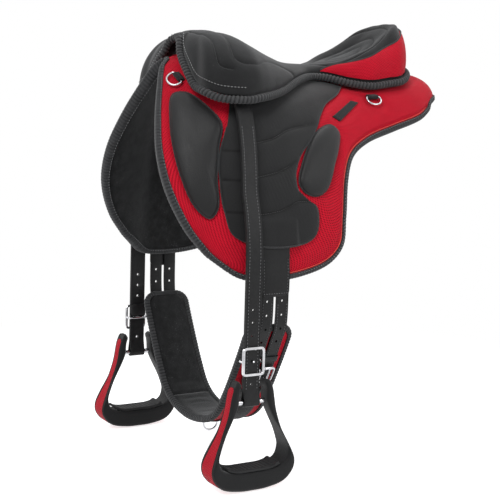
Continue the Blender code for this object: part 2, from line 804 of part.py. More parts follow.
def dee_outline(width, depth, steps=7):
    """D shape with its straight bar on the axis and its bow towards +depth."""
    half = width / 2
    points = [(-half, 0.0), (half, 0.0)]
    for k in range(steps + 1):
        t = math.pi * k / steps
        points.append((half * math.cos(t), depth * (0.35 + 0.65 * math.sin(t))))
    return points


def build_ring(name, y, z, bar_angle, width, depth, wire, steel, webbing):
    """Ring in a webbing tab. bar_angle turns the bar from the rearward to the downward direction."""
    q = turn_at(y, z)
    point, rearward, down, normal = surface_frame(y, q)
    bar = (rearward * math.cos(bar_angle) + down * math.sin(bar_angle)).normalized()
    bow = normal.cross(bar).normalized()
    if bow.dot(down * math.cos(bar_angle) - rearward * math.sin(bar_angle)) < 0:
        bow.negate()
    centre = point + normal * (BED + 4.2)
    path = [centre + bar * a + bow * b for a, b in dee_outline(width, depth)]
    ring = sweep(name + "_left", tube_rings(path, wire / 2, 6, normal, closed=True), steel, closed=True)
    pivots = pivot_pair(name + "_side_hinge", centre)
    both_sides(ring, pivots)

    half = width / 2 - wire / 2 - 2.2
    tab_path = ((-8.5, 0.0), (4.6, 0.0), (4.6, 5.2), (3.0, 7.4), (-2.0, 7.4), (-5.0, 2.6), (-8.5, 2.6))
    outline = [point + bow * a + normal * (BED + b) for a, b in tab_path]
    tab = prism(name + "_tab_left", outline, -half, half, bar, webbing)
    bore = cylinder(name + "_tab_bore", centre, bar, wire / 2 + 0.6, width, 8, webbing)
    modify(tab, bore, "DIFFERENCE")
    bake(tab)
    both_sides(tab)


# Stirrup leathers


def leather_shift(z):
    """How far the leather stands behind its hanging line at this height."""
    return (LEATHER_TOP_Y - LEATHER_Y) * smoothstep(-215, -20, z)


def leather_path():
    """Middle of the doubled strap in its own plane, from the hanger to the bolt, as x and z."""
    points = []
    for z in (-40, -54, -70, -90, -115, -145, -180):
        beside = []
        for side in (-0.5, 0, 0.5):
            y = LEATHER_Y + leather_shift(z) + side * LEATHER_WIDTH
            lift = BED + FENDER_BASE + STRAP_VALLEY + STRAP_GAP + LEATHER_THICK / 2
            q = turn_at(y, z)
            beside.append(skin_point(y, q).x + lift / max(skin_normal(y, q).x, 0.3))
        points.append((max(beside), z))
    last = points[-1][0]
    for k in range(1, 6):
        points.append((last + (LEATHER_X - last) * (1 - (1 - k / 5) ** 2.2), -180 - 24 * k))
    return points


def strap_body(name, path, width, thick, ends, skin):
    """Doubled strap along a path in the XZ plane, folded round a round bar at each end."""
    half = thick / 2
    outer, inner = [], []
    for i, p in enumerate(path):
        ahead = path[min(i + 1, len(path) - 1)]
        behind = path[max(i - 1, 0)]
        run = Vector((ahead[0] - behind[0], ahead[1] - behind[1])).normalized()
        side = Vector((-run.y, run.x))
        if side.x < 0:
            side.negate()
        outer.append(Vector(p) + side * half)
        inner.append(Vector(p) - side * half)
    (top_centre, top_radius), (low_centre, low_radius) = ends
    loop = []
    for k in range(7):
        t = math.radians(225 - 215 * k / 6)
        loop.append((top_centre[0] + top_radius * math.cos(t), top_centre[1] + top_radius * math.sin(t)))
    loop += [tuple(p) for p in outer]
    for k in range(7):
        t = math.radians(15 - 210 * k / 6)
        loop.append((low_centre[0] + low_radius * math.cos(t), low_centre[1] + low_radius * math.sin(t)))
    loop += [tuple(p) for p in reversed(inner)]
    vertices = []
    for side in (-0.5, 0.5):
        for x, z in loop:
            vertices.append((x, LEATHER_Y + leather_shift(z) + side * width, z))
    count = len(loop)
    faces = [tuple(range(count)), tuple(range(count, 2 * count))[::-1]]
    for i in range(count):
        k = (i + 1) % count
        faces.append((i, k, count + k, count + i))
    return finish(name, vertices, faces, skin)


def rounded_rectangle(width, height, radius, steps=3):
    points = []
    for cx, cy, start in ((1, 1, 0), (-1, 1, 90), (-1, -1, 180), (1, -1, 270)):
        for k in range(steps + 1):
            t = math.radians(start + 90 * k / steps)
            centre = (cx * (width / 2 - radius), cy * (height / 2 - radius))
            points.append((centre[0] + radius * math.cos(t), centre[1] + radius * math.sin(t)))
    return points


def build_leather(leather, steel, webbing):
    path = leather_path()
    beside = [body(LEATHER_TOP_Y, turn_at(LEATHER_TOP_Y, z), BED + 2.4) for z in (20, 12, 4, -4)]
    face_x = beside[-1].x + 0.6
    block = beside + [Vector((face_x, LEATHER_TOP_Y, beside[-1].z)), Vector((face_x, LEATHER_TOP_Y, 19))]
    y_axis, x_axis = Vector((0, 1, 0)), Vector((1, 0, 0))
    toe = math.radians(PIN_TOE)
    pin_axis = Vector((math.cos(toe), -math.sin(toe), 0))
    mount = prism("strap_mount_left", block, -13, 13, y_axis, webbing)
    centre = Vector((face_x, LEATHER_TOP_Y, PIVOT_Z))
    reach = EYE_WIDTH + 2.6
    pin = cylinder("pin", centre + pin_axis * (reach / 2 - 1), pin_axis, PIN_RADIUS, reach + 2, 20, webbing)
    head = cylinder("pin_head", centre + pin_axis * (reach + 1), pin_axis, PIN_RADIUS + 2, 2, 20, webbing)
    modify(mount, pin, "UNION")
    modify(mount, head, "UNION")
    bake(mount)
    both_sides(mount)

    eye_centre = centre + pin_axis * (reach / 2)
    swing = pivot_pair("leather_side_swing", eye_centre)
    bolt = Vector((LEATHER_X, LEATHER_Y, BOLT_Z))
    stirrup = pivot_pair("stirrup_side_turn", bolt, swing)
    low_q = turn_at(LEATHER_TOP_Y, HANGER_Z - 7)
    hanger = Vector((body(LEATHER_TOP_Y, low_q, 13.4).x, LEATHER_TOP_Y, HANGER_Z))

    fold = HANGER_BAR + 0.5 + LEATHER_THICK / 2
    low_fold = BOLT_RADIUS + 0.5 + LEATHER_THICK / 2
    strap = strap_body(
        "stirrup_leather_left",
        path + [(LEATHER_X, BOLT_Z + low_fold + 14)],
        LEATHER_WIDTH,
        LEATHER_THICK,
        (((hanger.x, hanger.z), fold), ((bolt.x, bolt.z), low_fold)),
        leather,
    )
    cutters = [
        cylinder("hanger_bore", hanger, y_axis, HANGER_BAR + 0.5, 60, 10, leather),
        cylinder("bolt_bore", bolt, y_axis, BOLT_RADIUS + 0.5, 60, 14, leather),
    ]
    for z in HOLE_ZS + (PEG_Z,):
        cutters.append(cylinder("hole", Vector((LEATHER_X, LEATHER_Y, z)), x_axis, 2.7, 20, 6, leather))
    for cutter in cutters:
        modify(strap, cutter, "DIFFERENCE")
    bake(strap)
    both_sides(strap, swing)

    top = Vector((eye_centre.x, LEATHER_TOP_Y, PIVOT_Z - EYE_RADIUS))
    slope = (hanger - top).normalized()
    height = (hanger - top).length
    middle = (hanger + top) / 2
    ring = [middle + y_axis * a + slope * b for a, b in rounded_rectangle(HANGER_WIDTH, height, 4, 2)]
    across = slope.cross(y_axis).normalized()
    rings = tube_rings(ring, HANGER_BAR, 6, across, closed=True)
    loop = sweep("strap_hanger_left", rings, steel, closed=True)
    eye = cylinder("eye", eye_centre, pin_axis, EYE_RADIUS, EYE_WIDTH, 16, steel)
    eye_bore = cylinder("eye_bore", eye_centre, pin_axis, PIN_RADIUS + 0.1, 2 * EYE_WIDTH, 20, steel)
    modify(loop, eye, "UNION")
    modify(loop, eye_bore, "DIFFERENCE")
    bake(loop)
    both_sides(loop, swing)

    frame_x = LEATHER_X + LEATHER_THICK / 2 + BUCKLE_WIRE + 0.5
    outline = rounded_rectangle(BUCKLE_WIDTH, BUCKLE_HEIGHT, 5, 2)
    frame = [Vector((frame_x, LEATHER_Y + a, PEG_Z + b)) for a, b in outline]
    rings = tube_rings(frame, BUCKLE_WIRE, 8, x_axis, closed=True)
    buckle = sweep("leather_buckle_left", rings, steel, closed=True)
    cross_x = LEATHER_X - LEATHER_THICK / 2 - 2.2 - 0.5
    half = BUCKLE_WIDTH / 2
    cross = [(frame_x, -half), (cross_x + 2, -half), (cross_x, -half + 2)]
    cross += [(x, -y) for x, y in reversed(cross)]
    cross = [Vector((x, LEATHER_Y + y, PEG_Z)) for x, y in cross]
    cross_bar = sweep("cross_bar", tube_rings(cross, 2.2, 6, Vector((0, 0, 1))), steel)
    peg_middle = Vector(((frame_x + cross_x) / 2, LEATHER_Y, PEG_Z))
    peg = cylinder("peg", peg_middle, x_axis, 2.0, frame_x - cross_x, 6, steel)
    for piece in (cross_bar, peg):
        modify(buckle, piece, "UNION")
    bake(buckle)
    both_sides(buckle, swing)

    tab_x = LEATHER_X - LEATHER_THICK / 2 - 0.4
    outline = rounded_rectangle(LEATHER_WIDTH - 1, 22, 3, 1)
    tab = [(tab_x, LEATHER_Y + a, PEG_Z + 15.5 + b) for a, b in outline]
    both_sides(prism("leather_tab_left", tab, -2.6, 0, x_axis, leather), swing)
    return swing, stirrup


# Stirrups


def stirrup_paths(count):
    """Outer and inner outline of the stirrup in its plane, from the front arm round to the rear arm."""
    outer = Route([(-w, h) for h, w in STIRRUP_OUTER] + [(w, h) for h, w in STIRRUP_OUTER[-2::-1]])
    inner = Route([(-w, h) for h, w in STIRRUP_INNER] + [(w, h) for h, w in STIRRUP_INNER[-2::-1]])
    return outer.even(count), inner.even(count)


def stirrup_depth(height):
    return ARM_DEPTH + (TREAD_DEPTH - ARM_DEPTH) * (1 - smoothstep(-110, -40, height))


def build_stirrup(black, red, rubber, steel, pivots):
    outer, inner = stirrup_paths(STIRRUP_STATIONS)
    bolt = Vector((LEATHER_X, LEATHER_Y, BOLT_Z))

    def at(point, depth):
        return bolt + Vector((depth, point[0], point[1]))

    rings, covers_out, covers_in = [], [], []
    for out_point, in_point in zip(outer, inner):
        half = stirrup_depth(out_point[1]) / 2
        across = (in_point - out_point).normalized()
        thick = (in_point - out_point).length
        soft = min(3.5, thick * 0.35)
        near = [(out_point + across * soft, half), (out_point, half - soft)]
        near += [(in_point, half - soft), (in_point - across * soft, half)]
        ring = [at(p, -depth) for p, depth in near[:2]] + [at(p, depth) for p, depth in near[1::-1]]
        ring += [at(p, depth) for p, depth in near[:1:-1]] + [at(p, -depth) for p, depth in near[2:]]
        rings.append(ring)
        width = half - soft - 1.0
        covers_in.append([at(out_point - across * 0.5, k * width) for k in (-1, 0, 1)])
        covers_out.append([at(out_point - across * 2.3, k * width) for k in (-1, 0, 1)])
    frame = sweep("stirrup_frame_left", rings, black)
    bore = cylinder("stirrup_bore", bolt, Vector((0, 1, 0)), BOLT_RADIUS + 0.4, 66, 12, black)
    modify(frame, bore, "DIFFERENCE")
    bake(frame)
    both_sides(frame, pivots)
    both_sides(slab("stirrup_cover_left", covers_out[1:-1], covers_in[1:-1], red), pivots)
    both_sides(cylinder("stirrup_bolt_left", bolt, Vector((0, 1, 0)), BOLT_RADIUS, 65, 12, steel), pivots)

    top, under = [], []
    for i in range(11):
        y = -50 + 10 * i
        low = TREAD_Z + 13 * (max(abs(y) - 20, 0) / 42) ** 2.2
        top_row, under_row = [], []
        for j in range(5):
            x = -20 + 10 * j
            crown = 1.2 + min(3.6 * (1 - abs(x / 21) ** 3) * (1 - abs(y / 52) ** 5), 3.0)
            top_row.append(bolt + Vector((x, y, low + crown)))
            under_row.append(bolt + Vector((x, y, low)))
        top.append(top_row)
        under.append(under_row)
    both_sides(slab("stirrup_tread_left", top, under, rubber), pivots)


# Billets and girth


def billet_path():
    """Middle of the billets as x and z, from under the fender down over the end of the girth."""
    points = []
    for z in (BILLET_TOP_Z, BILLET_PIVOT_Z, -275, -295):
        points.append((body(BILLET_Y, turn_at(BILLET_Y, z), BED + 2.2).x, z))
    points += [(206.0, -318), (205.8, -345), (205.0, -385)]
    route = girth_route()
    for place in (1, 22, 56, 92, BILLET_END):
        point = over_girth(route, place, BILLET_LIFT + (0.8 if place == 1 else 0))
        points.append((point.x, point.z))
    return points


def strap_rings(path, middle, half, thick):
    """Flat strap sections along a path in the XZ plane, from the inner to the outer face."""
    rings = []
    for i, p in enumerate(path):
        ahead, behind = path[min(i + 1, len(path) - 1)], path[max(i - 1, 0)]
        side = Vector((behind[1] - ahead[1], 0, ahead[0] - behind[0])).normalized()
        corners = ((-half, -thick / 2), (half, -thick / 2), (half, thick / 2), (-half, thick / 2))
        rings.append([Vector((p[0], middle + y, p[1])) + side * h for y, h in corners])
    return rings


def build_billets(leather, pivots):
    half_gap = BILLET_GAP / 2
    base_half = BILLET_WIDTH + half_gap
    x_axis = Vector((1, 0, 0))
    rings = strap_rings(Route(billet_path()).even(18), BILLET_Y, base_half, BILLET_THICK)
    strap = sweep("billets_left", rings, leather)
    slit = [(-half_gap, -10), (0, 0), (half_gap, -10), (half_gap, -220), (-half_gap, -220)]
    slit = [(100, BILLET_Y + y, BILLET_SPLIT_Z + z) for y, z in slit]
    modify(strap, prism("slit", slit, 0, 150, x_axis, leather), "DIFFERENCE")
    for side in (-1, 1):
        y = BILLET_Y + side * (half_gap + BILLET_WIDTH / 2)
        for z in BILLET_HOLE_ZS:
            hole = cylinder("billet_hole", Vector((200, y, z)), x_axis, 2.2, 60, 6, leather)
            modify(strap, hole, "DIFFERENCE")
    route = girth_route()
    ends = [(KEEPER_AT + sign * KEEPER_WIDTH / 2, lift) for sign in (-1, 1) for lift in (-1, 1)]
    ends = [over_girth(route, at, BILLET_LIFT + lift * (BILLET_THICK / 2 + 1.3)) for at, lift in ends]
    outline = [ends[0], ends[1], ends[3], ends[2]]
    half = base_half + 1.6
    modify(strap, prism("keeper", outline, -half, half, Vector((0, 1, 0)), leather), "UNION")
    bake(strap)
    hang(strap, pivots)
    mirrored(strap, pivots)


def girth_half_width(place, length, inset=0.0):
    """Half width at a distance from the girth's end, rounded at its corners."""
    radius = GIRTH_CORNER - inset
    end = min(place, length - place) - inset
    half = GIRTH_WIDTH / 2 - inset
    if end >= radius:
        return half
    return half - radius + math.sqrt(max(radius**2 - (radius - end) ** 2, 0.0))


def girth_frame(route, place):
    """Point on the girth's inner face and the outward direction there."""
    length = route.at_length[-1]
    p = route(place / length)
    run = (route(min(place / length + 0.004, 1)) - route(max(place / length - 0.004, 0))).normalized()
    outward = Vector((run.y, 0, -run.x))
    if outward.z > 0.2 or outward.dot(Vector((p.x, 0, p.y + 300))) < 0:
        outward.negate()
    return Vector((p.x, GIRTH_Y, p.y)), outward


def over_girth(route, place, lift, across=0.0):
    """Point at a height over the girth's inner face, at a distance from its end."""
    point, outward = girth_frame(route, place)
    return point + outward * lift + Vector((0, across, 0))


def girth_route():
    half = [Vector((x, z)) for x, z in GIRTH_PATH]
    return Route(half + [Vector((-p.x, p.y)) for p in half[-2::-1]])


def girth_layer(low, high, inset, width=None, columns=2):
    """Grids of one layer of the girth. A given width makes a straight strap."""
    route = girth_route()
    length = route.at_length[-1]
    ends = [inset] if width else [inset, inset + 2, inset + 6, inset + 12]
    first = GIRTH_CORNER + 4
    middle = [first + (length - 2 * first) * k / GIRTH_STATIONS for k in range(GIRTH_STATIONS + 1)]
    middle = [place for place in middle if inset + 6 < place < length - inset - 6]
    places = ends + middle + [length - p for p in reversed(ends)]
    top, under = [], []
    for place in places:
        point, outward = girth_frame(route, place)
        half = width / 2 if width else girth_half_width(place, length, inset)
        spread = [half * (2 * j / columns - 1) for j in range(columns + 1)]
        top.append([point + outward * high + Vector((0, y, 0)) for y in spread])
        under.append([point + outward * low + Vector((0, y, 0)) for y in spread])
    return top, under


def girth_outline():
    """Points, outward directions and edge directions round the girth."""
    route = girth_route()
    length = route.at_length[-1]
    half, r = GIRTH_WIDTH / 2, GIRTH_CORNER
    corners = ((length - r, half - r, 0), (length - r, r - half, 90), (r, r - half, 180), (r, half - r, 270))
    loop = []
    for place, y, start in corners:
        for k in range(6):
            t = math.radians(start + 18 * k)
            loop.append((place + r * math.sin(t), y + r * math.cos(t), math.sin(t), math.cos(t)))
        if start in (90, 270):
            side = math.copysign(1, y)
            for k in range(1, GIRTH_STATIONS):
                share = k / GIRTH_STATIONS
                loop.append((place + (length - 2 * place) * share, side * half, 0.0, side))
    rings = []
    for s, y, a, b in loop:
        point, outward = girth_frame(route, s)
        ahead, _ = girth_frame(route, min(s + 2, length))
        behind, _ = girth_frame(route, max(s - 2, 0))
        run = (ahead - behind).normalized()
        rings.append((point + Vector((0, y, 0)), outward, run * a + Vector((0, b, 0))))
    return rings


RING_TAB = (
    (-12, 4.0), (-12, 2.0), (-5.5, 1.0), (-4.2, -2.4), (-1.8, -4.2), (1.8, -4.2), (4.2, -2.4), (5.5, 1.0),
    (12, 2.0), (12, 4.0),
)


def tongue_slot(heel, run, outward):
    """Section of the gap in a chape where the tongue sits on its bar."""
    return [heel + run * a + outward * b for a, b in ((-6, -6), (5.5, -6), (5.5, 6), (-6, 6))]


def build_girth(suede, red, black, leather, steel, swing):
    inset = 7.0
    pad = slab("girth_pad", *girth_layer(-6.0, 0.0, inset + 1), suede)
    cover = slab("girth_cover", *girth_layer(0.5, 2.6, inset + 1), red)
    binding_line = ((-inset, 4.0), (0.5, 3.0), (1.6, -1.8), (0.5, -6.4), (-inset, -7.4))
    rings = [[p + side * a + outward * b for a, b in binding_line] for p, outward, side in girth_outline()]
    binding = sweep("girth_binding", rings, black, closed=True)
    for piece in (pad, cover, binding):
        hang(piece, swing)

    y_axis = Vector((0, 1, 0))
    strap = slab("girth_strap", *girth_layer(3.2, 5.4, CENTRE_STRAP_START, 48, 2), leather)
    route = girth_route()
    half_height = GIRTH_BUCKLE_HEIGHT / 2
    point, outward = girth_frame(route, GIRTH_BUCKLE_AT)
    run = y_axis.cross(outward)
    if run.z > 0:
        run.negate()
    middle = point + outward * GIRTH_BUCKLE_LIFT
    bar = middle + run * half_height
    for place, sign in (("front", -1), ("rear", 1)):
        offset = y_axis * (sign * (BILLET_GAP / 2 + BILLET_WIDTH / 2))
        corners = rounded_rectangle(BILLET_WIDTH, GIRTH_BUCKLE_HEIGHT, 4, 2)
        frame = [middle + offset + y_axis * a + run * b for a, b in corners]
        rings = tube_rings(frame, GIRTH_WIRE, 6, outward, closed=True)
        ring = sweep("girth_buckle_%s_left" % place, rings, steel, closed=True)
        hang(ring, swing)
        mirrored(ring, swing)
        hinge = bar + offset
        pivots = (
            pivot("girth_tongue_%s_left_hinge" % place, hinge, swing),
            pivot("girth_tongue_%s_right_hinge" % place, Vector((-hinge.x, hinge.y, hinge.z)), swing),
        )
        along = ((3.9, 1.5), (4.1, 8), (4.3, 22), (3.9, 29.5))
        tongue_path = [hinge + outward * a - run * b for a, b in along]
        tongue = sweep("girth_tongue_%s_left" % place, tube_rings(tongue_path, 1.6, 6, y_axis), steel)
        both_sides(tongue, pivots)
        for side in (1, -1):
            turned = Matrix.Diagonal((side, 1, 1))
            low = [turned @ over_girth(route, at, lift) for at, lift in CHAPE_LINE]
            high = [turned @ over_girth(route, at, lift + 2.0) for at, lift in CHAPE_LINE]
            sides = (offset.y - CHAPE_HALF, offset.y + CHAPE_HALF)
            modify(strap, prism("chape", low + high[::-1], *sides, y_axis, leather), "UNION")
            heel = turned @ hinge
            loop = cylinder("chape_loop", heel, y_axis, GIRTH_WIRE + 2.3, 2 * CHAPE_HALF, 10, leather)
            modify(strap, loop, "UNION")
            bore = cylinder("chape_bore", heel, y_axis, GIRTH_WIRE + 0.6, 3 * CHAPE_HALF, 10, leather)
            modify(strap, bore, "DIFFERENCE")
            gap = tongue_slot(heel, turned @ run, turned @ outward)
            modify(strap, prism("chape_slot", gap, -2.6, 2.6, y_axis, leather), "DIFFERENCE")

    bottom = Vector((0, GIRTH_Y, GIRTH_PATH[-1][1] - 5.6 - 3.4))
    hinge = pivot("girth_ring_hinge", bottom, swing)
    path = [bottom + y_axis * a + Vector((0, 0, -1)) * b for a, b in dee_outline(28, 20)]
    rings = tube_rings(path, GIRTH_WIRE, 6, Vector((1, 0, 0)), closed=True)
    hang(sweep("girth_ring", rings, steel, closed=True), hinge)
    tab = [bottom + Vector((a, 0, b)) for a, b in RING_TAB]
    modify(strap, prism("ring_tab", tab, -9.5, 9.5, y_axis, leather), "UNION")
    modify(strap, cylinder("ring_bore", bottom, y_axis, GIRTH_WIRE + 0.6, 30, 10, leather), "DIFFERENCE")
    bake(strap)
    hang(strap, swing)


def main():
    for obj in list(bpy.data.objects):
        bpy.data.objects.remove(obj)

    red = make_material("red_mesh", (0.55, 0.012, 0.03), 0.75)
    suede = make_material("black_suede", (0.012, 0.012, 0.013), 0.95)
    quilt = make_material("black_quilting", (0.02, 0.02, 0.021), 0.6)
    binding = make_material("black_binding", (0.03, 0.03, 0.03), 0.7)
    leather = make_material("black_leather", (0.018, 0.018, 0.018), 0.5)
    rubber = make_material("black_rubber", (0.025, 0.025, 0.025), 0.65)
    steel = make_material("polished_steel", (0.8, 0.8, 0.82), 0.2, 1.0)

    build_body(red, suede, binding)
    build_fender(quilt)
    both_sides(cushion("knee_block_left", KNEE_BLOCK, 18, BED + 1.2, 14.0, quilt))
    both_sides(cushion("thigh_block_left", THIGH_BLOCK, 16, BED, 12.0, quilt))

    patch_top, patch_under = [], []
    for i in range(LABEL_ROWS):
        top_row, under_row = [], []
        for j in range(LABEL_COLUMNS):
            u, v = j / (LABEL_COLUMNS - 1), i / (LABEL_ROWS - 1)
            near = Vector(LABEL[0]).lerp(Vector(LABEL[1]), u)
            far = Vector(LABEL[3]).lerp(Vector(LABEL[2]), u)
            y, z = near.lerp(far, v)
            top_row.append(body(y, turn_at(y, z), BED + 1.0))
            under_row.append(body(y, turn_at(y, z), BED))
        patch_top.append(top_row)
        patch_under.append(under_row)
    slab("label_patch", patch_top, patch_under, quilt)

    build_seat(quilt, red, binding)
    band_over("rigging_web", -224, -174, 0.47, 0.9, 3.0, 16, 3, leather)
    band_over("pommel_arch", -236, -192, 0.42, 3.9, 7.4, 14, 3, rubber)

    build_ring("front_ring", -269, 4, math.radians(75), 27, 19, 3.6, steel, leather)
    build_ring("rear_ring", 103, -18, math.radians(0), 28, 18, 3.6, steel, leather)

    swing, stirrup = build_leather(leather, steel, rubber)
    build_stirrup(binding, red, rubber, steel, stirrup)

    girth_swing = pivot("girth_swing", (0, BILLET_Y, BILLET_PIVOT_Z))
    build_billets(leather, girth_swing)
    build_girth(suede, red, binding, leather, steel, girth_swing)


main()
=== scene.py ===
import math

import bmesh
import bpy
import numpy as np
from mathutils import Matrix, Vector
from mathutils.bvhtree import BVHTree
from mathutils.kdtree import KDTree


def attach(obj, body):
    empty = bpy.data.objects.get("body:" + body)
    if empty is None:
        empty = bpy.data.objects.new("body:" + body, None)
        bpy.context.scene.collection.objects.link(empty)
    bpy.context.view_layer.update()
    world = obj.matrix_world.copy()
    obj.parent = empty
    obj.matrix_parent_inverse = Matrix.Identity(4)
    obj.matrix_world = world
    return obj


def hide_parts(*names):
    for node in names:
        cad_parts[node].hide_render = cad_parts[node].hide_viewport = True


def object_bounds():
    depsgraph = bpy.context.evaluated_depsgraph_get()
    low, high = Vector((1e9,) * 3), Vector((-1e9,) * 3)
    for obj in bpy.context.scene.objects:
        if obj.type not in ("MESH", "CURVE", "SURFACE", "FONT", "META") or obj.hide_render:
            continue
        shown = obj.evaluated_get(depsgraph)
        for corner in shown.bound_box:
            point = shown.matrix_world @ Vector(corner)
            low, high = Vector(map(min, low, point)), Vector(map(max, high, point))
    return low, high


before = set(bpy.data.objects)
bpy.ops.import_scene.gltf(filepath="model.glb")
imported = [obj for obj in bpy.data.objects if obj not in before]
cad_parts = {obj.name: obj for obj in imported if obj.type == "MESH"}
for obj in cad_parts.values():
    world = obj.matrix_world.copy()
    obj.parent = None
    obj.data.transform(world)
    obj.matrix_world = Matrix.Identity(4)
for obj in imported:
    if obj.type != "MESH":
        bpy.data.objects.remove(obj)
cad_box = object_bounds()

scene = bpy.context.scene

# The camera stands near the height of the seat, ahead of the saddle on its left side, and looks slightly
# down. Its place was worked out from points of the saddle in the photograph.
azimuth, height_angle, tilt = math.radians(58.5), math.radians(6.83), math.radians(1.71)
distance, aim = 2.1, Vector((0, -0.085, -0.301))
LENS_IN_PIXELS, PHOTO_PIXELS = 1134.8, 500


def add_object(name, data):
    """New object in the scene."""
    obj = bpy.data.objects.new(name, data)
    scene.collection.objects.link(obj)
    return obj


back = Vector((
    math.sin(azimuth) * math.cos(height_angle),
    -math.cos(azimuth) * math.cos(height_angle),
    math.sin(height_angle),
))
level = Vector((math.cos(azimuth), math.sin(azimuth), 0))
upright = back.cross(level)
camera_right = level * math.cos(tilt) + upright * math.sin(tilt)
camera_up = upright * math.cos(tilt) - level * math.sin(tilt)
placed = Matrix((camera_right, camera_up, back)).transposed().to_4x4()
placed.translation = aim + back * distance
lens = bpy.data.cameras.new("camera")
lens.sensor_width = 36
lens.lens = LENS_IN_PIXELS / PHOTO_PIXELS * lens.sensor_width
lens.clip_end = 50
camera = add_object("camera", lens)
camera.matrix_world = placed
scene.camera = camera

# Studio: a pale floor under the stirrups, a white room, and four large soft lamps.
# What the camera and the steel see of the room is plain white. The floor keeps the shadows.
scene.view_settings.view_transform = "Standard"
FLOOR_Z, WHITE_FROM, WHITE_AT = cad_box[0][2] - 0.001, 0.45, 1.3
ROOM_HALF = 9
LIT_POINT = Vector((0, -0.03, -0.2))


def grey(level, blue=None):
    return (level, level, level if blue is None else blue, 1)


def add_node(tree, kind, links=None, **values):
    """Adds a node, with sockets set by value or fed from another node's output."""
    node = tree.nodes.new(kind)
    for name, value in values.items():
        setattr(node, name, value)
    for key, value in (links or {}).items():
        if isinstance(value, bpy.types.NodeSocket):
            tree.links.new(value, node.inputs[key])
        else:
            node.inputs[key].default_value = value
    return node


def made_by(tree, kind, links=None, **values):
    """First output of a new node."""
    return add_node(tree, kind, links, **values).outputs[0]


def seen_ray(tree):
    """1 for camera, glossy and transmission rays, which see the white room, and 0 for those that light."""
    path = add_node(tree, "ShaderNodeLightPath")
    seen = path.outputs["Is Camera Ray"]
    for kind in ("Is Glossy Ray", "Is Transmission Ray"):
        seen = made_by(tree, "ShaderNodeMath", {0: seen, 1: path.outputs[kind]}, operation="MAXIMUM")
    return seen


room = bpy.data.worlds.new("white_room")
scene.world = room
room.use_nodes = True
tree = room.node_tree
tree.nodes.clear()
room_light = made_by(tree, "ShaderNodeBackground", {"Color": (0.9, 0.95, 1, 1), "Strength": 0.27})
room_view = made_by(tree, "ShaderNodeBackground", {"Color": grey(1), "Strength": 1.0})
chosen = made_by(tree, "ShaderNodeMixShader", {0: seen_ray(tree), 1: room_light, 2: room_view})
add_node(tree, "ShaderNodeOutputWorld", {0: chosen})

floor_mesh = bpy.data.meshes.new("studio_floor")
corners = ((-1, -1), (1, -1), (1, 1), (-1, 1))
floor_mesh.from_pydata([(x * ROOM_HALF, y * ROOM_HALF, FLOOR_Z) for x, y in corners], [], [(0, 1, 2, 3)])
floor = add_object("studio_floor", floor_mesh)
floor_material = bpy.data.materials.new("pale_floor")
floor_material.use_nodes = True
tree = floor_material.node_tree
tree.nodes.clear()
matt = made_by(tree, "ShaderNodeBsdfDiffuse", {"Color": grey(0.8)})
faint = made_by(tree, "ShaderNodeBsdfDiffuse", {"Color": grey(0.95)})
glow = made_by(tree, "ShaderNodeEmission", {"Color": grey(1), "Strength": 0.77})
bright = made_by(tree, "ShaderNodeAddShader", {0: faint, 1: glow})
white = made_by(tree, "ShaderNodeEmission", {"Color": grey(1), "Strength": 1.0})
place = made_by(tree, "ShaderNodeNewGeometry")
away = add_node(tree, "ShaderNodeVectorMath", {0: place, 1: (0, -0.1, FLOOR_Z)}, operation="DISTANCE")
outer = made_by(tree, "ShaderNodeMapRange", {
    "Value": away.outputs["Value"], "From Min": WHITE_FROM, "From Max": WHITE_AT,
})
seen = made_by(tree, "ShaderNodeMixShader", {0: outer, 1: bright, 2: white})
chosen = made_by(tree, "ShaderNodeMixShader", {0: seen_ray(tree), 1: matt, 2: seen})
add_node(tree, "ShaderNodeOutputMaterial", {0: chosen})
floor_mesh.materials.append(floor_material)

for name, place, size, power in (
    ("key_lamp", (1.5, -2.2, 1.9), 1.3, 52),
    ("side_lamp", (2.5, 0.9, 0.9), 1.4, 22),
    ("top_lamp", (-0.4, 0.5, 2.4), 1.6, 26),
    ("far_lamp", (-2.3, -1.0, 0.7), 1.6, 12),
):
    lamp = bpy.data.lights.new(name, "AREA")
    lamp.size = size
    lamp.energy = power
    stand = add_object(name, lamp)
    stand.location = place
    stand.rotation_euler = (LIT_POINT - Vector(place)).to_track_quat("-Z", "Y").to_euler()

# Body: a soft red shell of spacer mesh over a little foam on each side, joined on the middle line.
# The mesh swells between the pieces that are sewn on it and is pulled down where its edge is bound.
MM = 0.001
X_AXIS, Y_AXIS, Z_AXIS = Vector((1, 0, 0)), Vector((0, 1, 0)), Vector((0, 0, 1))
SECTIONS = (
    (-345, 20.0, 157, 328, 0.90), (-300, 34.0, 161, 345, 1.02), (-265, 42.0, 167, 358, 1.40),
    (-205, 54.0, 197, 374, 2.15), (-130, 39.0, 202, 363, 2.30), (-50, 20.0, 197, 340, 2.40),
    (0, 14.3, 188, 305, 2.45), (80, 17.0, 161, 215, 2.55), (150, 25.0, 148, 160, 2.60),
    (200, 31.0, 136, 128, 2.60), (240, 32.0, 120, 108, 2.60), (258, 28.5, 110, 98, 2.60),
    (268, 23.5, 98, 92, 2.60), (277, 14.0, 84, 88, 2.60), (283, 3.0, 66, 84, 2.60), (288, -9.5, 48, 80, 2.60),
)
FRONT_EDGE = (
    (-269, 40), (-284, 26), (-299, -8), (-317, -60), (-329, -118), (-325, -178), (-300, -240), (-266, -285),
)
LOWER_EDGE = (
    (-266, -285), (-221, -318), (-160, -324), (-100, -318), (-44, -301), (-13, -272), (-6, -225),
    (4, -162), (24, -120), (66, -93), (135, -69), (200, -49), (234, -31),
)
REAR_END, REAR_END_Z, REAR_RISE = 286.5, -6.5, 0.4
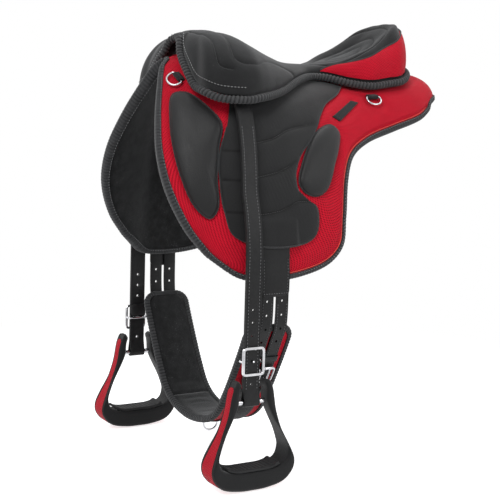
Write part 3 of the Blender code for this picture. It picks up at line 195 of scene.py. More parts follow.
SEAT_EDGE = (
    (-238, 49), (-250, 37), (-253, 10), (-249, -16), (-228, -38), (-200, -44), (-165, -38), (-125, -26),
    (-69, -6), (-22, 5), (24, 7), (65, -1), (108, -4), (150, 2), (175, 6), (192, 12.5), (206, 20.2),
    (216, 26.3), (223, 30.3), (227, 31.8),
)
BED, BINDING_INSET, TUCKED_IN = 1.5, 6.0, 1.6
SLIDE_PARTS, SEAM_CLEAR = 4, 0.2
SHELL_COLUMNS, SHELL_ROWS = 132, 48
MESH_SWELL, PULLED_DOWN = 3.4, 0.9
ROW_STEP, FRONT_STEP, REAR_STEP = 7.0, 5.0, 4.0


def between(t, step, a, b, leaving, arriving):
    """Value on a smooth curve from a to b, with the slopes at both ends."""
    value = (1 + 2 * t) * (1 - t) ** 2 * a + t * t * (3 - 2 * t) * b
    return value + (t * (1 - t) ** 2 * step * leaving + t * t * (t - 1) * step * arriving)


class Profile:
    """A value that changes smoothly with its place, through the given points and never past them."""

    def __init__(self, points):
        self.xs = [p[0] for p in points]
        self.ys = [p[1] for p in points]
        steps = [b - a for a, b in zip(self.xs, self.xs[1:])]
        rises = [(b - a) / h for a, b, h in zip(self.ys, self.ys[1:], steps)]
        self.slopes = [rises[0]]
        for a, b in zip(rises, rises[1:]):
            self.slopes.append(0.0 if a * b <= 0 else 2 * a * b / (a + b))
        self.slopes.append(rises[-1])

    def __call__(self, x):
        x = min(max(x, self.xs[0]), self.xs[-1])
        i = 0
        while i < len(self.xs) - 2 and x > self.xs[i + 1]:
            i += 1
        step = self.xs[i + 1] - self.xs[i]
        return between((x - self.xs[i]) / step, step, *self.ys[i : i + 2], *self.slopes[i : i + 2])


class Route:
    """A smooth curve through chosen points, read by the share of its length from 0 to 1."""

    def __init__(self, points, closed=False):
        self.points = [Vector(p) for p in points]
        if closed:
            self.points.append(self.points[0])
        self.at_length = [0.0]
        for a, b in zip(self.points, self.points[1:]):
            self.at_length.append(self.at_length[-1] + (b - a).length)
        last = len(self.points) - 1
        self.tangents = []
        for i in range(last + 1):
            if closed and i in (0, last):
                across = self.points[1] - self.points[last - 1]
                span = self.at_length[1] + self.at_length[last] - self.at_length[last - 1]
            else:
                before, after = max(i - 1, 0), min(i + 1, last)
                across = self.points[after] - self.points[before]
                span = self.at_length[after] - self.at_length[before]
            self.tangents.append(across / span)

    def __call__(self, share):
        s = float(share) * self.at_length[-1]
        i = 0
        while i < len(self.points) - 2 and s > self.at_length[i + 1]:
            i += 1
        step = self.at_length[i + 1] - self.at_length[i]
        t = (s - self.at_length[i]) / step
        return between(t, step, *self.points[i : i + 2], *self.tangents[i : i + 2])

    def even(self, count):
        return [self(i / (count - 1)) for i in range(count)]


def smoothstep(low, high, x):
    t = min(max((x - low) / (high - low), 0.0), 1.0)
    return t * t * (3 - 2 * t)


RIDGE, HALF, DEPTH, FULL = (Profile([(s[0], s[k]) for s in SECTIONS]) for k in (1, 2, 3, 4))


def skin_point(y, q):
    """Point on the left of the body's outer face: q is 0 on the ridge and a quarter turn at the widest."""
    x = HALF(y) * max(math.sin(max(q, 0.0)), 0.0) ** (2 / FULL(y))
    return Vector((x, y, RIDGE(y) - DEPTH(y) * (1 - math.cos(q))))


def skin_tangents(y, q):
    low = max(q - 0.01, 0.0)
    along = (skin_point(y + 1, q) - skin_point(y - 1, q)) / 2
    down = (skin_point(y, q + 0.01) - skin_point(y, low)) / (q + 0.01 - low)
    return along, down


def skin_normal(y, q):
    along, down = skin_tangents(y, q)
    normal = down.cross(along).normalized()
    if normal.z < 0 and normal.x < 0:
        normal.negate()
    normal.x *= smoothstep(0, 22, skin_point(y, q).x)
    return normal.normalized()


def body(y, q, lift=0.0):
    """Point at a height above the outer face. Near the ridge the height is taken upright."""
    point = skin_point(y, q) + skin_normal(y, q) * lift
    point.x = max(point.x, 0.0)
    return point


def turn_at(y, z):
    """q of the point of the outer face at this place and height."""
    return math.acos(min(max(1 - (RIDGE(y) - z) / DEPTH(y), -1.0), 1.0))


def slide(y, q, step):
    """The place reached from (y, q) by a short way along the outer face."""
    for _ in range(SLIDE_PARTS):
        along, down = skin_tangents(y, q)
        a, b, c = along.dot(along), along.dot(down), down.dot(down)
        p, r = step.dot(along) / SLIDE_PARTS, step.dot(down) / SLIDE_PARTS
        det = a * c - b * b
        y, q = y + (p * c - r * b) / det, max(q + (r * a - p * b) / det, 0.001)
    return y, q


def on_body(outline, count, closed=False, crowd=0.0):
    """(y, q) of points along an outline that is given in side view. crowd draws them towards its end."""
    route = Route(outline, closed)
    shares = [i / (count if closed else count - 1) for i in range(count)]
    places = [route((1 - crowd) * t + crowd * math.sin(math.pi / 2 * t)) for t in shares]
    return [(p[0], turn_at(p[0], p[1])) for p in places]


def body_edge(columns, rows):
    """(y, q) along the front edge, the lower edge and the rear edge of the left side."""
    front = on_body(FRONT_EDGE, rows + 1)
    front[0] = (FRONT_EDGE[0][0], 0.0)
    lower = on_body(LOWER_EDGE, columns + 1, crowd=0.6)
    corner_y, corner_z = LOWER_EDGE[-1]
    rear = []
    for i in range(rows + 1):
        turn = math.pi / 2 * i / rows
        y = corner_y + (REAR_END - corner_y) * math.cos(turn)
        rise = max(math.cos(turn), 0.0) ** REAR_RISE
        rear.append((y, turn_at(y, corner_z + (REAR_END_Z - corner_z) * rise)))
    rear[0] = (REAR_END, 0.0)
    return front, lower, rear


def edge_frames(edge):
    """Point, mitred outward direction and normal along a whole edge of the left side."""
    points = [skin_point(y, q) for y, q in edge]
    last = len(points) - 1
    frames = []
    for i, (y, q) in enumerate(edge):
        normal = skin_normal(y, q)
        if i in (0, last):
            across = -X_AXIS if i else X_AXIS
            outward = across.cross(normal).normalized()
        else:
            ahead = (points[i + 1] - points[i]).cross(normal).normalized()
            behind = (points[i] - points[i - 1]).cross(normal).normalized()
            outward = (ahead + behind).normalized()
            outward /= max(outward.dot(ahead), 0.7)
        frames.append((points[i], outward, normal))
    return frames


def inset_edge(edge, distance):
    moved = []
    for (y, q), (_, outward, _) in zip(edge, edge_frames(edge)):
        if q > 0.02:
            moved.append(slide(y, q, outward * -distance))
        else:
            along, _ = skin_tangents(y, q)
            moved.append((y - math.copysign(distance / along.length, outward.y), 0.0))
    return moved


def patch(upper, lower, front, rear):
    """Grid of (y, q) that blends between its four sides."""
    rows = []
    for i in range(len(front)):
        v = i / (len(front) - 1)
        row = []
        for j in range(len(upper)):
            t = j / (len(upper) - 1)
            place = []
            for k in (0, 1):
                sides = (1 - v) * upper[j][k] + v * lower[j][k] + (1 - t) * front[i][k] + t * rear[i][k]
                corners = (1 - v) * ((1 - t) * upper[0][k] + t * upper[-1][k])
                corners += v * ((1 - t) * lower[0][k] + t * lower[-1][k])
                place.append(sides - corners)
            row.append(tuple(place))
        rows.append(row)
    return rows


def body_grid(columns, rows):
    """(y, q) of the shell: rows from the ridge to the lower edge, columns from front to rear."""
    front, lower, rear = body_edge(columns, rows)
    edge = inset_edge(front + lower[1:] + rear[-2::-1], BINDING_INSET - TUCKED_IN)
    front, lower, rear = edge[: rows + 1], edge[rows : rows + columns + 1], edge[rows + columns :][::-1]
    first, last = front[0][0], rear[0][0]
    ridge = []
    for j in range(columns + 1):
        follow = (lower[j][0] - lower[0][0]) / (lower[-1][0] - lower[0][0])
        ridge.append((first + (last - first) * (0.55 * j / columns + 0.45 * follow), 0.0))
    return patch(ridge, lower, front, rear)


def surface(grid, lift):
    """Points of a grid at a height, or at heights given point by point, kept clear of the middle line."""
    rows = []
    for i, row in enumerate(grid):
        points = []
        for j, (y, q) in enumerate(row):
            point = body(y, max(q, 0.0), lift if isinstance(lift, float) else lift[i][j])
            point.x = max(point.x, SEAM_CLEAR)
            points.append(point)
        rows.append(points)
    return rows


def piece(name, points, faces, material, uv=None, sharp=50):
    """Object made from points in millimetres. Its faces are turned outward."""
    mesh = bpy.data.meshes.new(name)
    mesh.from_pydata([Vector(p) * MM for p in points], [], faces)
    if uv is not None:
        layer = mesh.uv_layers.new(name="cloth")
        corners = np.zeros(len(mesh.loops), int)
        mesh.loops.foreach_get("vertex_index", corners)
        layer.data.foreach_set("uv", (np.array(uv, float)[corners] * MM).reshape(-1))
    mesh.materials.append(material)
    form = bmesh.new()
    form.from_mesh(mesh)
    bmesh.ops.remove_doubles(form, verts=form.verts, dist=2e-6)
    bmesh.ops.recalc_face_normals(form, faces=form.faces)
    if form.calc_volume(signed=True) < 0:
        bmesh.ops.reverse_faces(form, faces=form.faces)
    form.to_mesh(mesh)
    form.free()
    mesh.shade_smooth()
    mesh.set_sharp_from_angle(angle=math.radians(sharp))
    return add_object(name, mesh)


def other_side(obj):
    """The same piece for the right side."""
    mesh = obj.data.copy()
    mesh.transform(Matrix.Diagonal((-1, 1, 1, 1)))
    mesh.flip_normals()
    return add_object(obj.name.replace("_left", "_right"), mesh)


def settle(obj, body_name, *nodes, fill=None):
    """Rides a piece on a body. It stands for the nodes. fill is not used."""
    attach(obj, body_name)
    if nodes:
        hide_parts(*nodes)


def both_sides(obj, body_name, *nodes, fill=None):
    """Adds the right piece, and settles each on its own side."""
    for made, side in ((obj, "left"), (other_side(obj), "right")):
        stands_for = [node.replace("side", side) for node in nodes]
        settle(made, body_name.replace("side", side), *stands_for, fill=fill)


def grid_faces(rows, columns, start=0):
    corners = [start + i * columns + j for i in range(rows - 1) for j in range(columns - 1)]
    return [(k, k + 1, k + columns + 1, k + columns) for k in corners]


def band_faces(first, second, count):
    """Faces between two closed rings of points."""
    steps = [(j, (j + 1) % count) for j in range(count)]
    return [(first + j, first + m, second + m, second + j) for j, m in steps]


def lengths(points):
    """Running length along a row of points."""
    run = [0.0]
    for a, b in zip(points, points[1:]):
        run.append(run[-1] + (b - a).length)
    return run


def slab(name, top, under, material, sharp=50):
    """Closed piece between two grids of points, with its cloth measured along the surface."""
    rows, columns = len(top), len(top[0])
    points = [p for row in top for p in row] + [p for row in under for p in row]
    middle = columns // 2
    down = lengths([row[middle] for row in top])
    cloth = []
    for i, row in enumerate(top):
        run = lengths(row)
        cloth += [(run[j] - run[middle], down[i]) for j in range(columns)]
    half = rows * columns
    faces = grid_faces(rows, columns) + [face[::-1] for face in grid_faces(rows, columns, half)]
    rim = list(range(columns))
    rim += [i * columns + columns - 1 for i in range(1, rows)]
    rim += [(rows - 1) * columns + j for j in range(columns - 2, -1, -1)]
    rim += [i * columns for i in range(rows - 2, 0, -1)]
    for a, b in zip(rim, rim[1:] + rim[:1]):
        faces.append((a, a + half, b + half, b))
    return piece(name, points, faces, material, cloth + cloth, sharp)


def clear_way(points, outlines):
    """Distance in side view from each point to the nearest outline, and 0 inside one."""
    points = np.array(points, float)
    nearest = np.full(len(points), 1e9)
    for outline in outlines:
        corners = np.array([tuple(p)[:2] for p in Route(outline, True).even(90)], float)
        ends = np.roll(corners, -1, axis=0)
        inside = np.zeros(len(points), bool)
        for a, b in zip(corners, ends):
            step = b - a
            share = np.clip(((points - a) @ step) / max(step @ step, 1e-9), 0, 1)
            nearest = np.minimum(nearest, np.linalg.norm(points - a - share[:, None] * step, axis=1))
            crosses = (a[1] > points[:, 1]) != (b[1] > points[:, 1])
            at = a[0] + (points[:, 1] - a[1]) / (b[1] - a[1] + 1e-12) * (b[0] - a[0])
            inside ^= crosses & (points[:, 0] < at)
        nearest[inside] = 0
    return nearest


FENDER_TOP = ((-212, -30), (-165, -23), (-125, -13), (-69, 0), (-22, 8.5), (24, 8.5), (42, 4.5), (52, 0))
FENDER_BOTTOM = ((-204, -264), (-183, -269), (-150, -270.5), (-118, -268), (-96, -264))
FENDER_FRONT = (
    (-212, -30), (-224, -75), (-237, -112), (-242, -137), (-243, -160), (-243, -187), (-240, -212),
    (-230, -248), (-204, -264),
)
FENDER_REAR = (
    (52, 0), (28, -15), (-8, -32), (-31, -52), (-46, -71), (-69, -95), (-95, -119), (-110, -145),
    (-112, -168), (-105, -186), (-87, -197), (-72, -207), (-71, -237), (-79, -254), (-96, -264),
)
KNEE_BLOCK = (
    (-284, -24), (-262, -21), (-240, -46), (-230, -70), (-239, -108), (-247, -160), (-249, -207),
    (-263, -224), (-287, -203), (-302, -158), (-305, -104), (-297, -58),
)
THIGH_BLOCK = (
    (-14, -67), (1, -79), (-6, -103), (-24, -136), (-44, -174), (-66, -187), (-92, -182), (-105, -165),
    (-96, -138), (-74, -104), (-48, -79),
)
LABEL = ((-1, -52), (54, -23), (69, -26), (12, -60))
SEWN_DOWN = (
    FENDER_FRONT[:-1] + FENDER_BOTTOM + FENDER_REAR[-2::-1] + FENDER_TOP[-2:0:-1], KNEE_BLOCK, THIGH_BLOCK,
    SEAT_EDGE + tuple((y, z + 90) for y, z in SEAT_EDGE[::-1]),
    ((88, -27), (118, -27), (118, -3), (88, -3)), ((-282, -10), (-256, -10), (-256, 18), (-282, 18)),
    ((-190, -240), (-130, -240), (-130, -330), (-190, -330)),
)

shell_grid = body_grid(SHELL_COLUMNS, SHELL_ROWS)
flat_places = [(y, skin_point(y, q).z) for row in shell_grid for y, q in row]
sewn = clear_way(flat_places, SEWN_DOWN)
on_label = clear_way(flat_places, (LABEL,))
swell_heights = []
for i in range(SHELL_ROWS + 1):
    row = []
    for j in range(SHELL_COLUMNS + 1):
        k = i * (SHELL_COLUMNS + 1) + j
        to_edge = min((SHELL_ROWS - i) * ROW_STEP, j * FRONT_STEP, (SHELL_COLUMNS - j) * REAR_STEP)
        rise = smoothstep(0, 20, sewn[k]) * smoothstep(0, 26, to_edge) * smoothstep(0, 12, on_label[k])
        row.append(MESH_SWELL * rise - PULLED_DOWN * (1 - smoothstep(0, 9, to_edge)))
    swell_heights.append(row)


def node_group(name, inputs, outputs, kind="ShaderNodeTree"):
    """Empty group. An input is given its value, or the kind of its socket where it has none."""
    group = bpy.data.node_groups.new(name, kind)
    for label, value in inputs.items():
        sort = value if isinstance(value, str) else "Int" if isinstance(value, int) else "Float"
        socket = group.interface.new_socket(name=label, in_out="INPUT", socket_type="NodeSocket" + sort)
        if sort != value:
            socket.default_value = value
    for label in outputs:
        sort = "Geometry" if label == "Geometry" else "Float"
        group.interface.new_socket(name=label, in_out="OUTPUT", socket_type="NodeSocket" + sort)
    return group, group.nodes.new("NodeGroupInput").outputs, group.nodes.new("NodeGroupOutput").inputs


def calculate(tree, operation, *values):
    return made_by(tree, "ShaderNodeMath", dict(enumerate(values)), operation=operation)


def remap(tree, value, low, high, to_low=0.0, to_high=1.0):
    return made_by(tree, "ShaderNodeMapRange", {
        "Value": value, "From Min": low, "From Max": high, "To Min": to_low, "To Max": to_high,
    }, interpolation_type="SMOOTHSTEP")


def clouds(tree, vector, size, detail):
    """Soft noise, finer where size is larger."""
    return made_by(tree, "ShaderNodeTexNoise", {"Vector": vector, "Scale": size, "Detail": detail})


honeycomb, given, result = node_group(
    "spacer_mesh_cells", {"Vector": "Vector", "Cell": 0.0024}, ("Opening", "Height"),
)
waves = []
for turn in (0, 60, 120):
    wave = 4 * math.pi / math.sqrt(3)
    direction = (wave * math.cos(math.radians(turn)), wave * math.sin(math.radians(turn)), 0)
    along = add_node(honeycomb, "ShaderNodeVectorMath", {0: given["Vector"], 1: direction},
                     operation="DOT_PRODUCT").outputs["Value"]
    waves.append(calculate(honeycomb, "COSINE", calculate(honeycomb, "DIVIDE", along, given["Cell"])))
total = calculate(honeycomb, "ADD", calculate(honeycomb, "ADD", waves[0], waves[1]), waves[2])
honeycomb.links.new(remap(honeycomb, total, 0.4, 1.9), result["Opening"])
honeycomb.links.new(remap(honeycomb, total, 1.6, -1.2), result["Height"])

fibres, given, result = node_group(
    "fibre_tone", {"Vector": "Vector", "Size": 90.0, "Amount": 0.25}, ("Tone", "Height"),
)
broad = made_by(fibres, "ShaderNodeTexNoise", {
    "Vector": given["Vector"], "Scale": given["Size"], "Detail": 5.0, "Roughness": 0.62,
})
fine = made_by(fibres, "ShaderNodeTexNoise", {
    "Vector": given["Vector"], "Detail": 3.0, "Roughness": 0.7,
    "Scale": calculate(fibres, "MULTIPLY", given["Size"], 14.0),
})
mixed = calculate(fibres, "ADD", calculate(fibres, "MULTIPLY", broad, 0.65),
                  calculate(fibres, "MULTIPLY", fine, 0.35))
swing = calculate(fibres, "MULTIPLY", calculate(fibres, "SUBTRACT", mixed, 0.5), 4.0)
tone = calculate(fibres, "MULTIPLY_ADD", swing, given["Amount"], 1.0)
fibres.links.new(tone, result["Tone"])
fibres.links.new(mixed, result["Height"])


def new_material(name, roughness, metallic=0.0, **plain):
    """Material with a Principled shader, its tree, and its texture places. plain holds even values."""
    material = bpy.data.materials.new(name)
    material.use_nodes = True
    shader = material.node_tree.nodes["Principled BSDF"]
    spot = material.node_tree.nodes.new("ShaderNodeTexCoord").outputs
    shader.inputs["Roughness"].default_value = roughness
    shader.inputs["Metallic"].default_value = metallic
    for key, value in plain.items():
        shader.inputs[key.replace("_", " ")].default_value = value
    return material, material.node_tree, shader, spot


def use_group(tree, group, vector, **sizes):
    """Outputs of a group that is read at the vector."""
    return add_node(tree, "ShaderNodeGroup", {"Vector": vector, **sizes}, node_tree=group).outputs


def dye(tree, shader, colour, tone):
    """Base colour made lighter and darker by a tone around 1."""
    colour = colour if isinstance(colour, bpy.types.NodeSocket) else colour[:3]
    mixed = made_by(tree, "ShaderNodeVectorMath", {0: colour, 1: tone}, operation="MULTIPLY")
    tree.links.new(mixed, shader.inputs["Base Color"])


def vary_roughness(tree, shader, value, low, high, smooth, rough):
    tree.links.new(remap(tree, value, low, high, smooth, rough), shader.inputs["Roughness"])


def mix_colours(tree, share, a, b):
    return add_node(tree, "ShaderNodeMix", {0: share, 6: a, 7: b}, data_type="RGBA").outputs[2]


def add_bump(tree, shader, height, depth, strength=1.0):
    """Surface relief of a depth in metres."""
    bump = add_node(tree, "ShaderNodeBump", {"Height": height, "Distance": depth, "Strength": strength})
    if shader.inputs["Normal"].is_linked:
        tree.links.new(shader.inputs["Normal"].links[0].from_socket, bump.inputs["Normal"])
    tree.links.new(bump.outputs[0], shader.inputs["Normal"])


def spacer_mesh(name, thread, cell_shade, cell):
    """Knitted spacer mesh: a bright thread round small cells, which are darkened with painted shade."""
    material, tree, shader, spot = new_material(
        name, 0.62, Sheen_Weight=0.2, Sheen_Roughness=0.45, Sheen_Tint=(1.0, 0.35, 0.35, 1),
        Specular_IOR_Level=0.12,
    )
    cells = use_group(tree, honeycomb, spot["UV"], Cell=cell)
    lint = use_group(tree, fibres, spot["Object"], Size=34.0, Amount=0.1)
    # The cells' openings get painted shade, a darker copy of the thread colour.
    colour = mix_colours(tree, cells["Opening"], thread, cell_shade)
    dye(tree, shader, colour, lint["Tone"])
    vary_roughness(tree, shader, cells["Opening"], 0, 1, 0.55, 0.85)
    add_bump(tree, shader, lint["Height"], 0.0008, 0.5)
    add_bump(tree, shader, cells["Height"], 0.0006, 0.8)
    return material


# The second colour is painted shade in the mesh's open cells.
RED_THREAD, RED_CELL_SHADE = (0.63, 0.005, 0.024, 1), (0.2, 0.001, 0.007, 1)
red_mesh = spacer_mesh("red_spacer_mesh", RED_THREAD, RED_CELL_SHADE, 0.0031)
shell = slab("red_flap_left", surface(shell_grid, swell_heights), surface(shell_grid, -5.6), red_mesh, 70)
both_sides(shell, "saddle", "flap_side")
ridge = []
for (y, _), lift in list(zip(shell_grid[0], swell_heights[0]))[2:-2]:
    on_middle = body(y, 0.0, lift)
    on_middle.x = 0.0
    ridge.append((on_middle, Z_AXIS))

# Linings: brushed black suede with felt behind it, glued under each shell. The far one shows under the far
# flap. Its nap is mottled and carries a little lint.
LINING_FACE, LINING_BACK = -6.6, -14.2


def shade_in_seams(tree, tone):
    """A tone darkened by painted shade where the attribute seam marks the grooves of seams."""
    seam = add_node(tree, "ShaderNodeAttribute", attribute_name="seam").outputs["Fac"]
    return calculate(tree, "MULTIPLY", tone, remap(tree, seam, 0, 1, 1.0, 0.22))


def brushed(name, colour, nap, roughness=0.95, sheen=0.5, size=60.0, lint=0.03):
    """Suede or felt: a mottled nap with a soft sheen and specks of lint."""
    material, tree, shader, spot = new_material(
        name, roughness, Sheen_Weight=sheen, Sheen_Roughness=0.5, Specular_IOR_Level=0.08,
    )
    fluff = use_group(tree, fibres, spot["Object"], Size=size, Amount=nap)
    flecks = clouds(tree, spot["Object"], 520.0, 3.0)
    patches = clouds(tree, spot["Object"], 28.0, 3.0)
    linty = calculate(tree, "MULTIPLY", remap(tree, flecks, 0.6, 0.72),
                      remap(tree, patches, 0.42, 0.66))
    colour = mix_colours(tree, linty, colour, tuple(c + lint for c in colour[:3]) + (1,))
    # Painted shade darkens the nap in the grooves of its seams.
    dye(tree, shader, colour, shade_in_seams(tree, fluff["Tone"]))
    add_bump(tree, shader, fluff["Height"], 0.0012, 0.6)
    return material


lining_suede = brushed("black_lining_suede", grey(0.0145, 0.015), 1.1, sheen=0.3, lint=0.05)
lining_grid = body_grid(66, 24)
lining_layers = [surface(lining_grid, height) for height in (LINING_FACE, LINING_BACK)]
both_sides(slab("suede_lining_left", *lining_layers, lining_suede), "saddle", "lining_side")

# Panels: foam wedges in felt, glued under the lining on each side of the spine, out of sight under the seat.
# They keep the horse's backbone free.
panel_grid = [row[18:60] for row in lining_grid[5:19]]
face, underside = [], []
for i, row in enumerate(panel_grid):
    v = 2 * i / (len(panel_grid) - 1) - 1
    face.append([body(y, q, -15.4) for y, q in row])
    fulls = [((1 - abs(2 * j / (len(row) - 1) - 1) ** 5) * (1 - abs(v) ** 3)) ** 0.7 for j in range(len(row))]
    underside.append([body(y, q, -18.4 - 10 * full) for (y, q), full in zip(row, fulls)])
panel_felt = brushed("black_panel_felt", grey(0.02, 0.021), 0.4)
both_sides(slab("felt_panel_left", face, underside, panel_felt), "saddle", "panel_side", fill=0.8)

# Binding: black braid folded over the edge of shell, foam and lining, overlocked all round in close ribs,
# with one row of grey stitches near its inner edge and a thin piping where it meets the red mesh.
RIB_PITCH, RIB_GROWTH = 6.2, 1.2
EDGE_SECTION = ((1.0, 1.4), (3.2, -2.6), (3.4, -7.2), (3.2, -11.6), (1.0, -15.8))


def eased(edge, middle, reach, times):
    """An edge with its corner worn round."""
    edge = list(edge)
    for _ in range(times):
        fresh = edge[:]
        for i in range(middle - reach, middle + reach + 1):
            fresh[i] = tuple((edge[i - 1][k] + 2 * edge[i][k] + edge[i + 1][k]) / 4 for k in (0, 1))
        edge = fresh
    return edge


def mirrored(p):
    return Vector((-p.x, p.y, p.z))


def whole_loop(rows):
    """Rows of the left side followed by those of the right side, from front to rear and back."""
    return rows + [[mirrored(p) for p in row] for row in rows[-2:0:-1]]


def on_centre(rows):
    for row in (rows[0], rows[-1]):
        for point in row:
            point.x = 0.0
    return rows


def sweep(name, rings, material, closed=False, sharp=50):
    """Closed piece through rings of points, with its cloth measured along and round it."""
    sides = len(rings[0])
    points = [p for ring in rings for p in ring]
    cloth = [(s, t) for s in lengths([ring[0] for ring in rings]) for t in lengths(rings[0])]
    faces = []
    for i in range(len(rings) if closed else len(rings) - 1):
        faces += band_faces(i * sides, (i + 1) % len(rings) * sides, sides)
    if not closed:
        faces.append(tuple(range(sides))[::-1])
        faces.append(tuple((len(rings) - 1) * sides + j for j in range(sides)))
    return piece(name, points, faces, material, cloth, sharp)


def braid(name, colour, crest, roughness=0.72):
    """Overlocked braid: woven threads, with a painted highlight on the crests that the attribute rib gives
    and painted shade between them.
    """
    material, tree, shader, spot = new_material(name, roughness, Sheen_Weight=0.2, Specular_IOR_Level=0.15)
    rib = add_node(tree, "ShaderNodeAttribute", attribute_name="rib").outputs["Fac"]
    lint = use_group(tree, fibres, spot["Object"], Size=120.0, Amount=0.3)
    threads = clouds(tree, spot["Object"], 1500.0, 2.0)
    # Painted highlight on the rib crests and painted shade in the valleys between them.
    colour = mix_colours(tree, rib, colour, crest)
    dye(tree, shader, colour, lint["Tone"])
    add_bump(tree, shader, threads, 0.0005, 0.7)
    return material


def paint_attribute(obj, name, values):
    attribute = obj.data.attributes.new(name, "FLOAT", "POINT")
    attribute.data.foreach_set("value", np.array(values, np.float32))


stitch_row, given, result = node_group("stitch_row", {
    "Geometry": "Geometry", "Pitch": 0.005, "Stitch length": 0.0034, "Thread": 0.0009, "Material": "Material",
}, ("Geometry",), "GeometryNodeTree")


def spaced_line(tree, given, pitch):
    """The guide's edges as a curve with points at an even pitch."""
    line = made_by(tree, "GeometryNodeMeshToCurve", {"Mesh": given["Geometry"]})
    return made_by(tree, "GeometryNodeResampleCurve", {"Curve": line, "Length": pitch}, mode="LENGTH")


def read_back(tree, name, kind="FLOAT"):
    """An attribute of the geometry."""
    return made_by(tree, "GeometryNodeInputNamedAttribute", {"Name": name}, data_type=kind)


def put_out(tree, geometry, given, result):
    """Ends a tree: plain geometry in its material."""
    real = made_by(tree, "GeometryNodeRealizeInstances", {0: geometry})
    dyed = made_by(tree, "GeometryNodeSetMaterial", {"Geometry": real, "Material": given["Material"]})
    tree.links.new(dyed, result[0])


along = made_by(stitch_row, "FunctionNodeAlignRotationToVector", {
    "Vector": made_by(stitch_row, "GeometryNodeInputTangent"),
}, axis="X")
turned = made_by(stitch_row, "FunctionNodeAlignRotationToVector", {
    "Rotation": along, "Vector": read_back(stitch_row, "face_out", "FLOAT_VECTOR"),
}, axis="Z", pivot_axis="X")
put_out(stitch_row, made_by(stitch_row, "GeometryNodeInstanceOnPoints", {
    "Points": spaced_line(stitch_row, given, given["Pitch"]),
    "Instance": made_by(stitch_row, "GeometryNodeMeshUVSphere", {"Segments": 6, "Rings": 4, "Radius": 0.5}),
    "Rotation": turned,
    "Scale": made_by(stitch_row, "ShaderNodeCombineXYZ", {
        0: given["Stitch length"], 1: given["Thread"], 2: given["Thread"],
    }),
}), given, result)


def finished(obj):
    """Plain mesh of an object as its modifiers leave it."""
    bpy.context.view_layer.update()
    return bpy.data.meshes.new_from_object(obj.evaluated_get(bpy.context.evaluated_depsgraph_get()))


def grow(obj, tree, name, **values):
    """Runs a Geometry Nodes tree on a guide object and keeps the result as a plain mesh of its own."""
    change = obj.modifiers.new(tree.name, "NODES")
    change.node_group = tree
    for item in tree.interface.items_tree:
        if item.in_out == "INPUT" and item.name.replace(" ", "_") in values:
            change[item.identifier] = values[item.name.replace(" ", "_")]
    mesh = finished(obj)
    bpy.data.objects.remove(obj)
    mesh.name = name
    mesh.shade_smooth()
    return add_object(name, mesh)


def guide(lines, closed):
    """Mesh of plain edges along lines of (point, outward direction)."""
    mesh = bpy.data.meshes.new("guide")
    points, edges, normals = [], [], []
    for run in lines:
        first = len(points)
        points += [Vector(p) * MM for p, _ in run]
        normals += [c for _, n in run for c in n]
        edges += [(first + i, first + i + 1) for i in range(len(run) - 1)]
        if closed:
            edges.append((len(points) - 1, first))
    mesh.from_pydata(points, edges, [])
    mesh.attributes.new("face_out", "FLOAT_VECTOR", "POINT").data.foreach_set("vector", normals)
    return add_object("guide", mesh)


def sew(name, lines, material, pitch=5.0, length=3.4, thread=0.9, closed=False):
    return grow(guide(lines, closed), stitch_row, name, Pitch=pitch * MM, Stitch_length=length * MM,
                Thread=thread * MM, Material=material)


def flipped(lines):
    """The same lines on the right side."""
    return [[(mirrored(p), mirrored(n)) for p, n in run] for run in lines]


def each_side(make, name, lines, body_name, *sizes, **more):
    """Sews or rolls the same lines on both sides."""
    for side, runs in (("left", lines), ("right", flipped(lines))):
        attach(make(name + "_" + side, runs, *sizes, **more), body_name.replace("side", side))


def along_skin(places, lift):
    """Line of (point, normal) at a height over places on the body."""
    return [(body(y, q, lift), skin_normal(y, q)) for y, q in places]


def thread_dye(name, colour, roughness=0.6):
    material, tree, shader, spot = new_material(name, roughness, Sheen_Weight=0.2)
    lint = use_group(tree, fibres, spot["Object"], Size=300.0, Amount=0.35)
    dye(tree, shader, colour, lint["Tone"])
    return material


EDGE_COLUMNS, EDGE_ROWS = 400, 210
STITCHES_INSET, PIPING_INSET = 4.2, 8.4
front, lower, rear = body_edge(EDGE_COLUMNS, EDGE_ROWS)
rim = eased(front + lower[1:] + rear[-2::-1], EDGE_ROWS + EDGE_COLUMNS, 26, 90)
rim = eased(rim, EDGE_ROWS, 20, 30)
section = Route(EDGE_SECTION).even(9)
rings, rib_heights, run = [], [], 0.0
inner_rim = inset_edge(rim, BINDING_INSET)
for k, ((point, outward, normal), (y, q)) in enumerate(zip(edge_frames(rim), inner_rim)):
    if k:
        run += (point - skin_point(*rim[k - 1])).length
    rib = abs(math.sin(math.pi * run / RIB_PITCH)) ** 0.7
    grow_out = RIB_GROWTH * (rib - 0.5)
    ring = [body(y, q, 1.3), body(y, q, 2.1 + grow_out)]
    ring.append(body(y, q, 2.6 + grow_out).lerp(point + outward * 1.0 + normal * (2.4 + grow_out), 0.5))
    ring += [point + outward * (a + grow_out * 0.8) + normal * b for a, b in section]
    ring += [body(y, q, -17.0 - grow_out), body(y, q, -15.2)]
    rings.append(ring)
    rib_heights += [rib] * len(ring)
on_centre(rings)
loop = whole_loop(rings)
count = len(rings[0])
rib_heights += [rib_heights[i * count] for i in range(len(rings) - 2, 0, -1) for _ in range(count)]
# Its paler crest colour is a painted highlight on the ribs, and its dark colour painted shade between them.
edge_braid = braid("black_edge_braid", grey(0.005, 0.0055), grey(0.05, 0.052))
binding = sweep("braided_edge_binding", loop, edge_braid, closed=True)
paint_attribute(binding, "rib", rib_heights)
settle(binding, "saddle", "edge_binding")

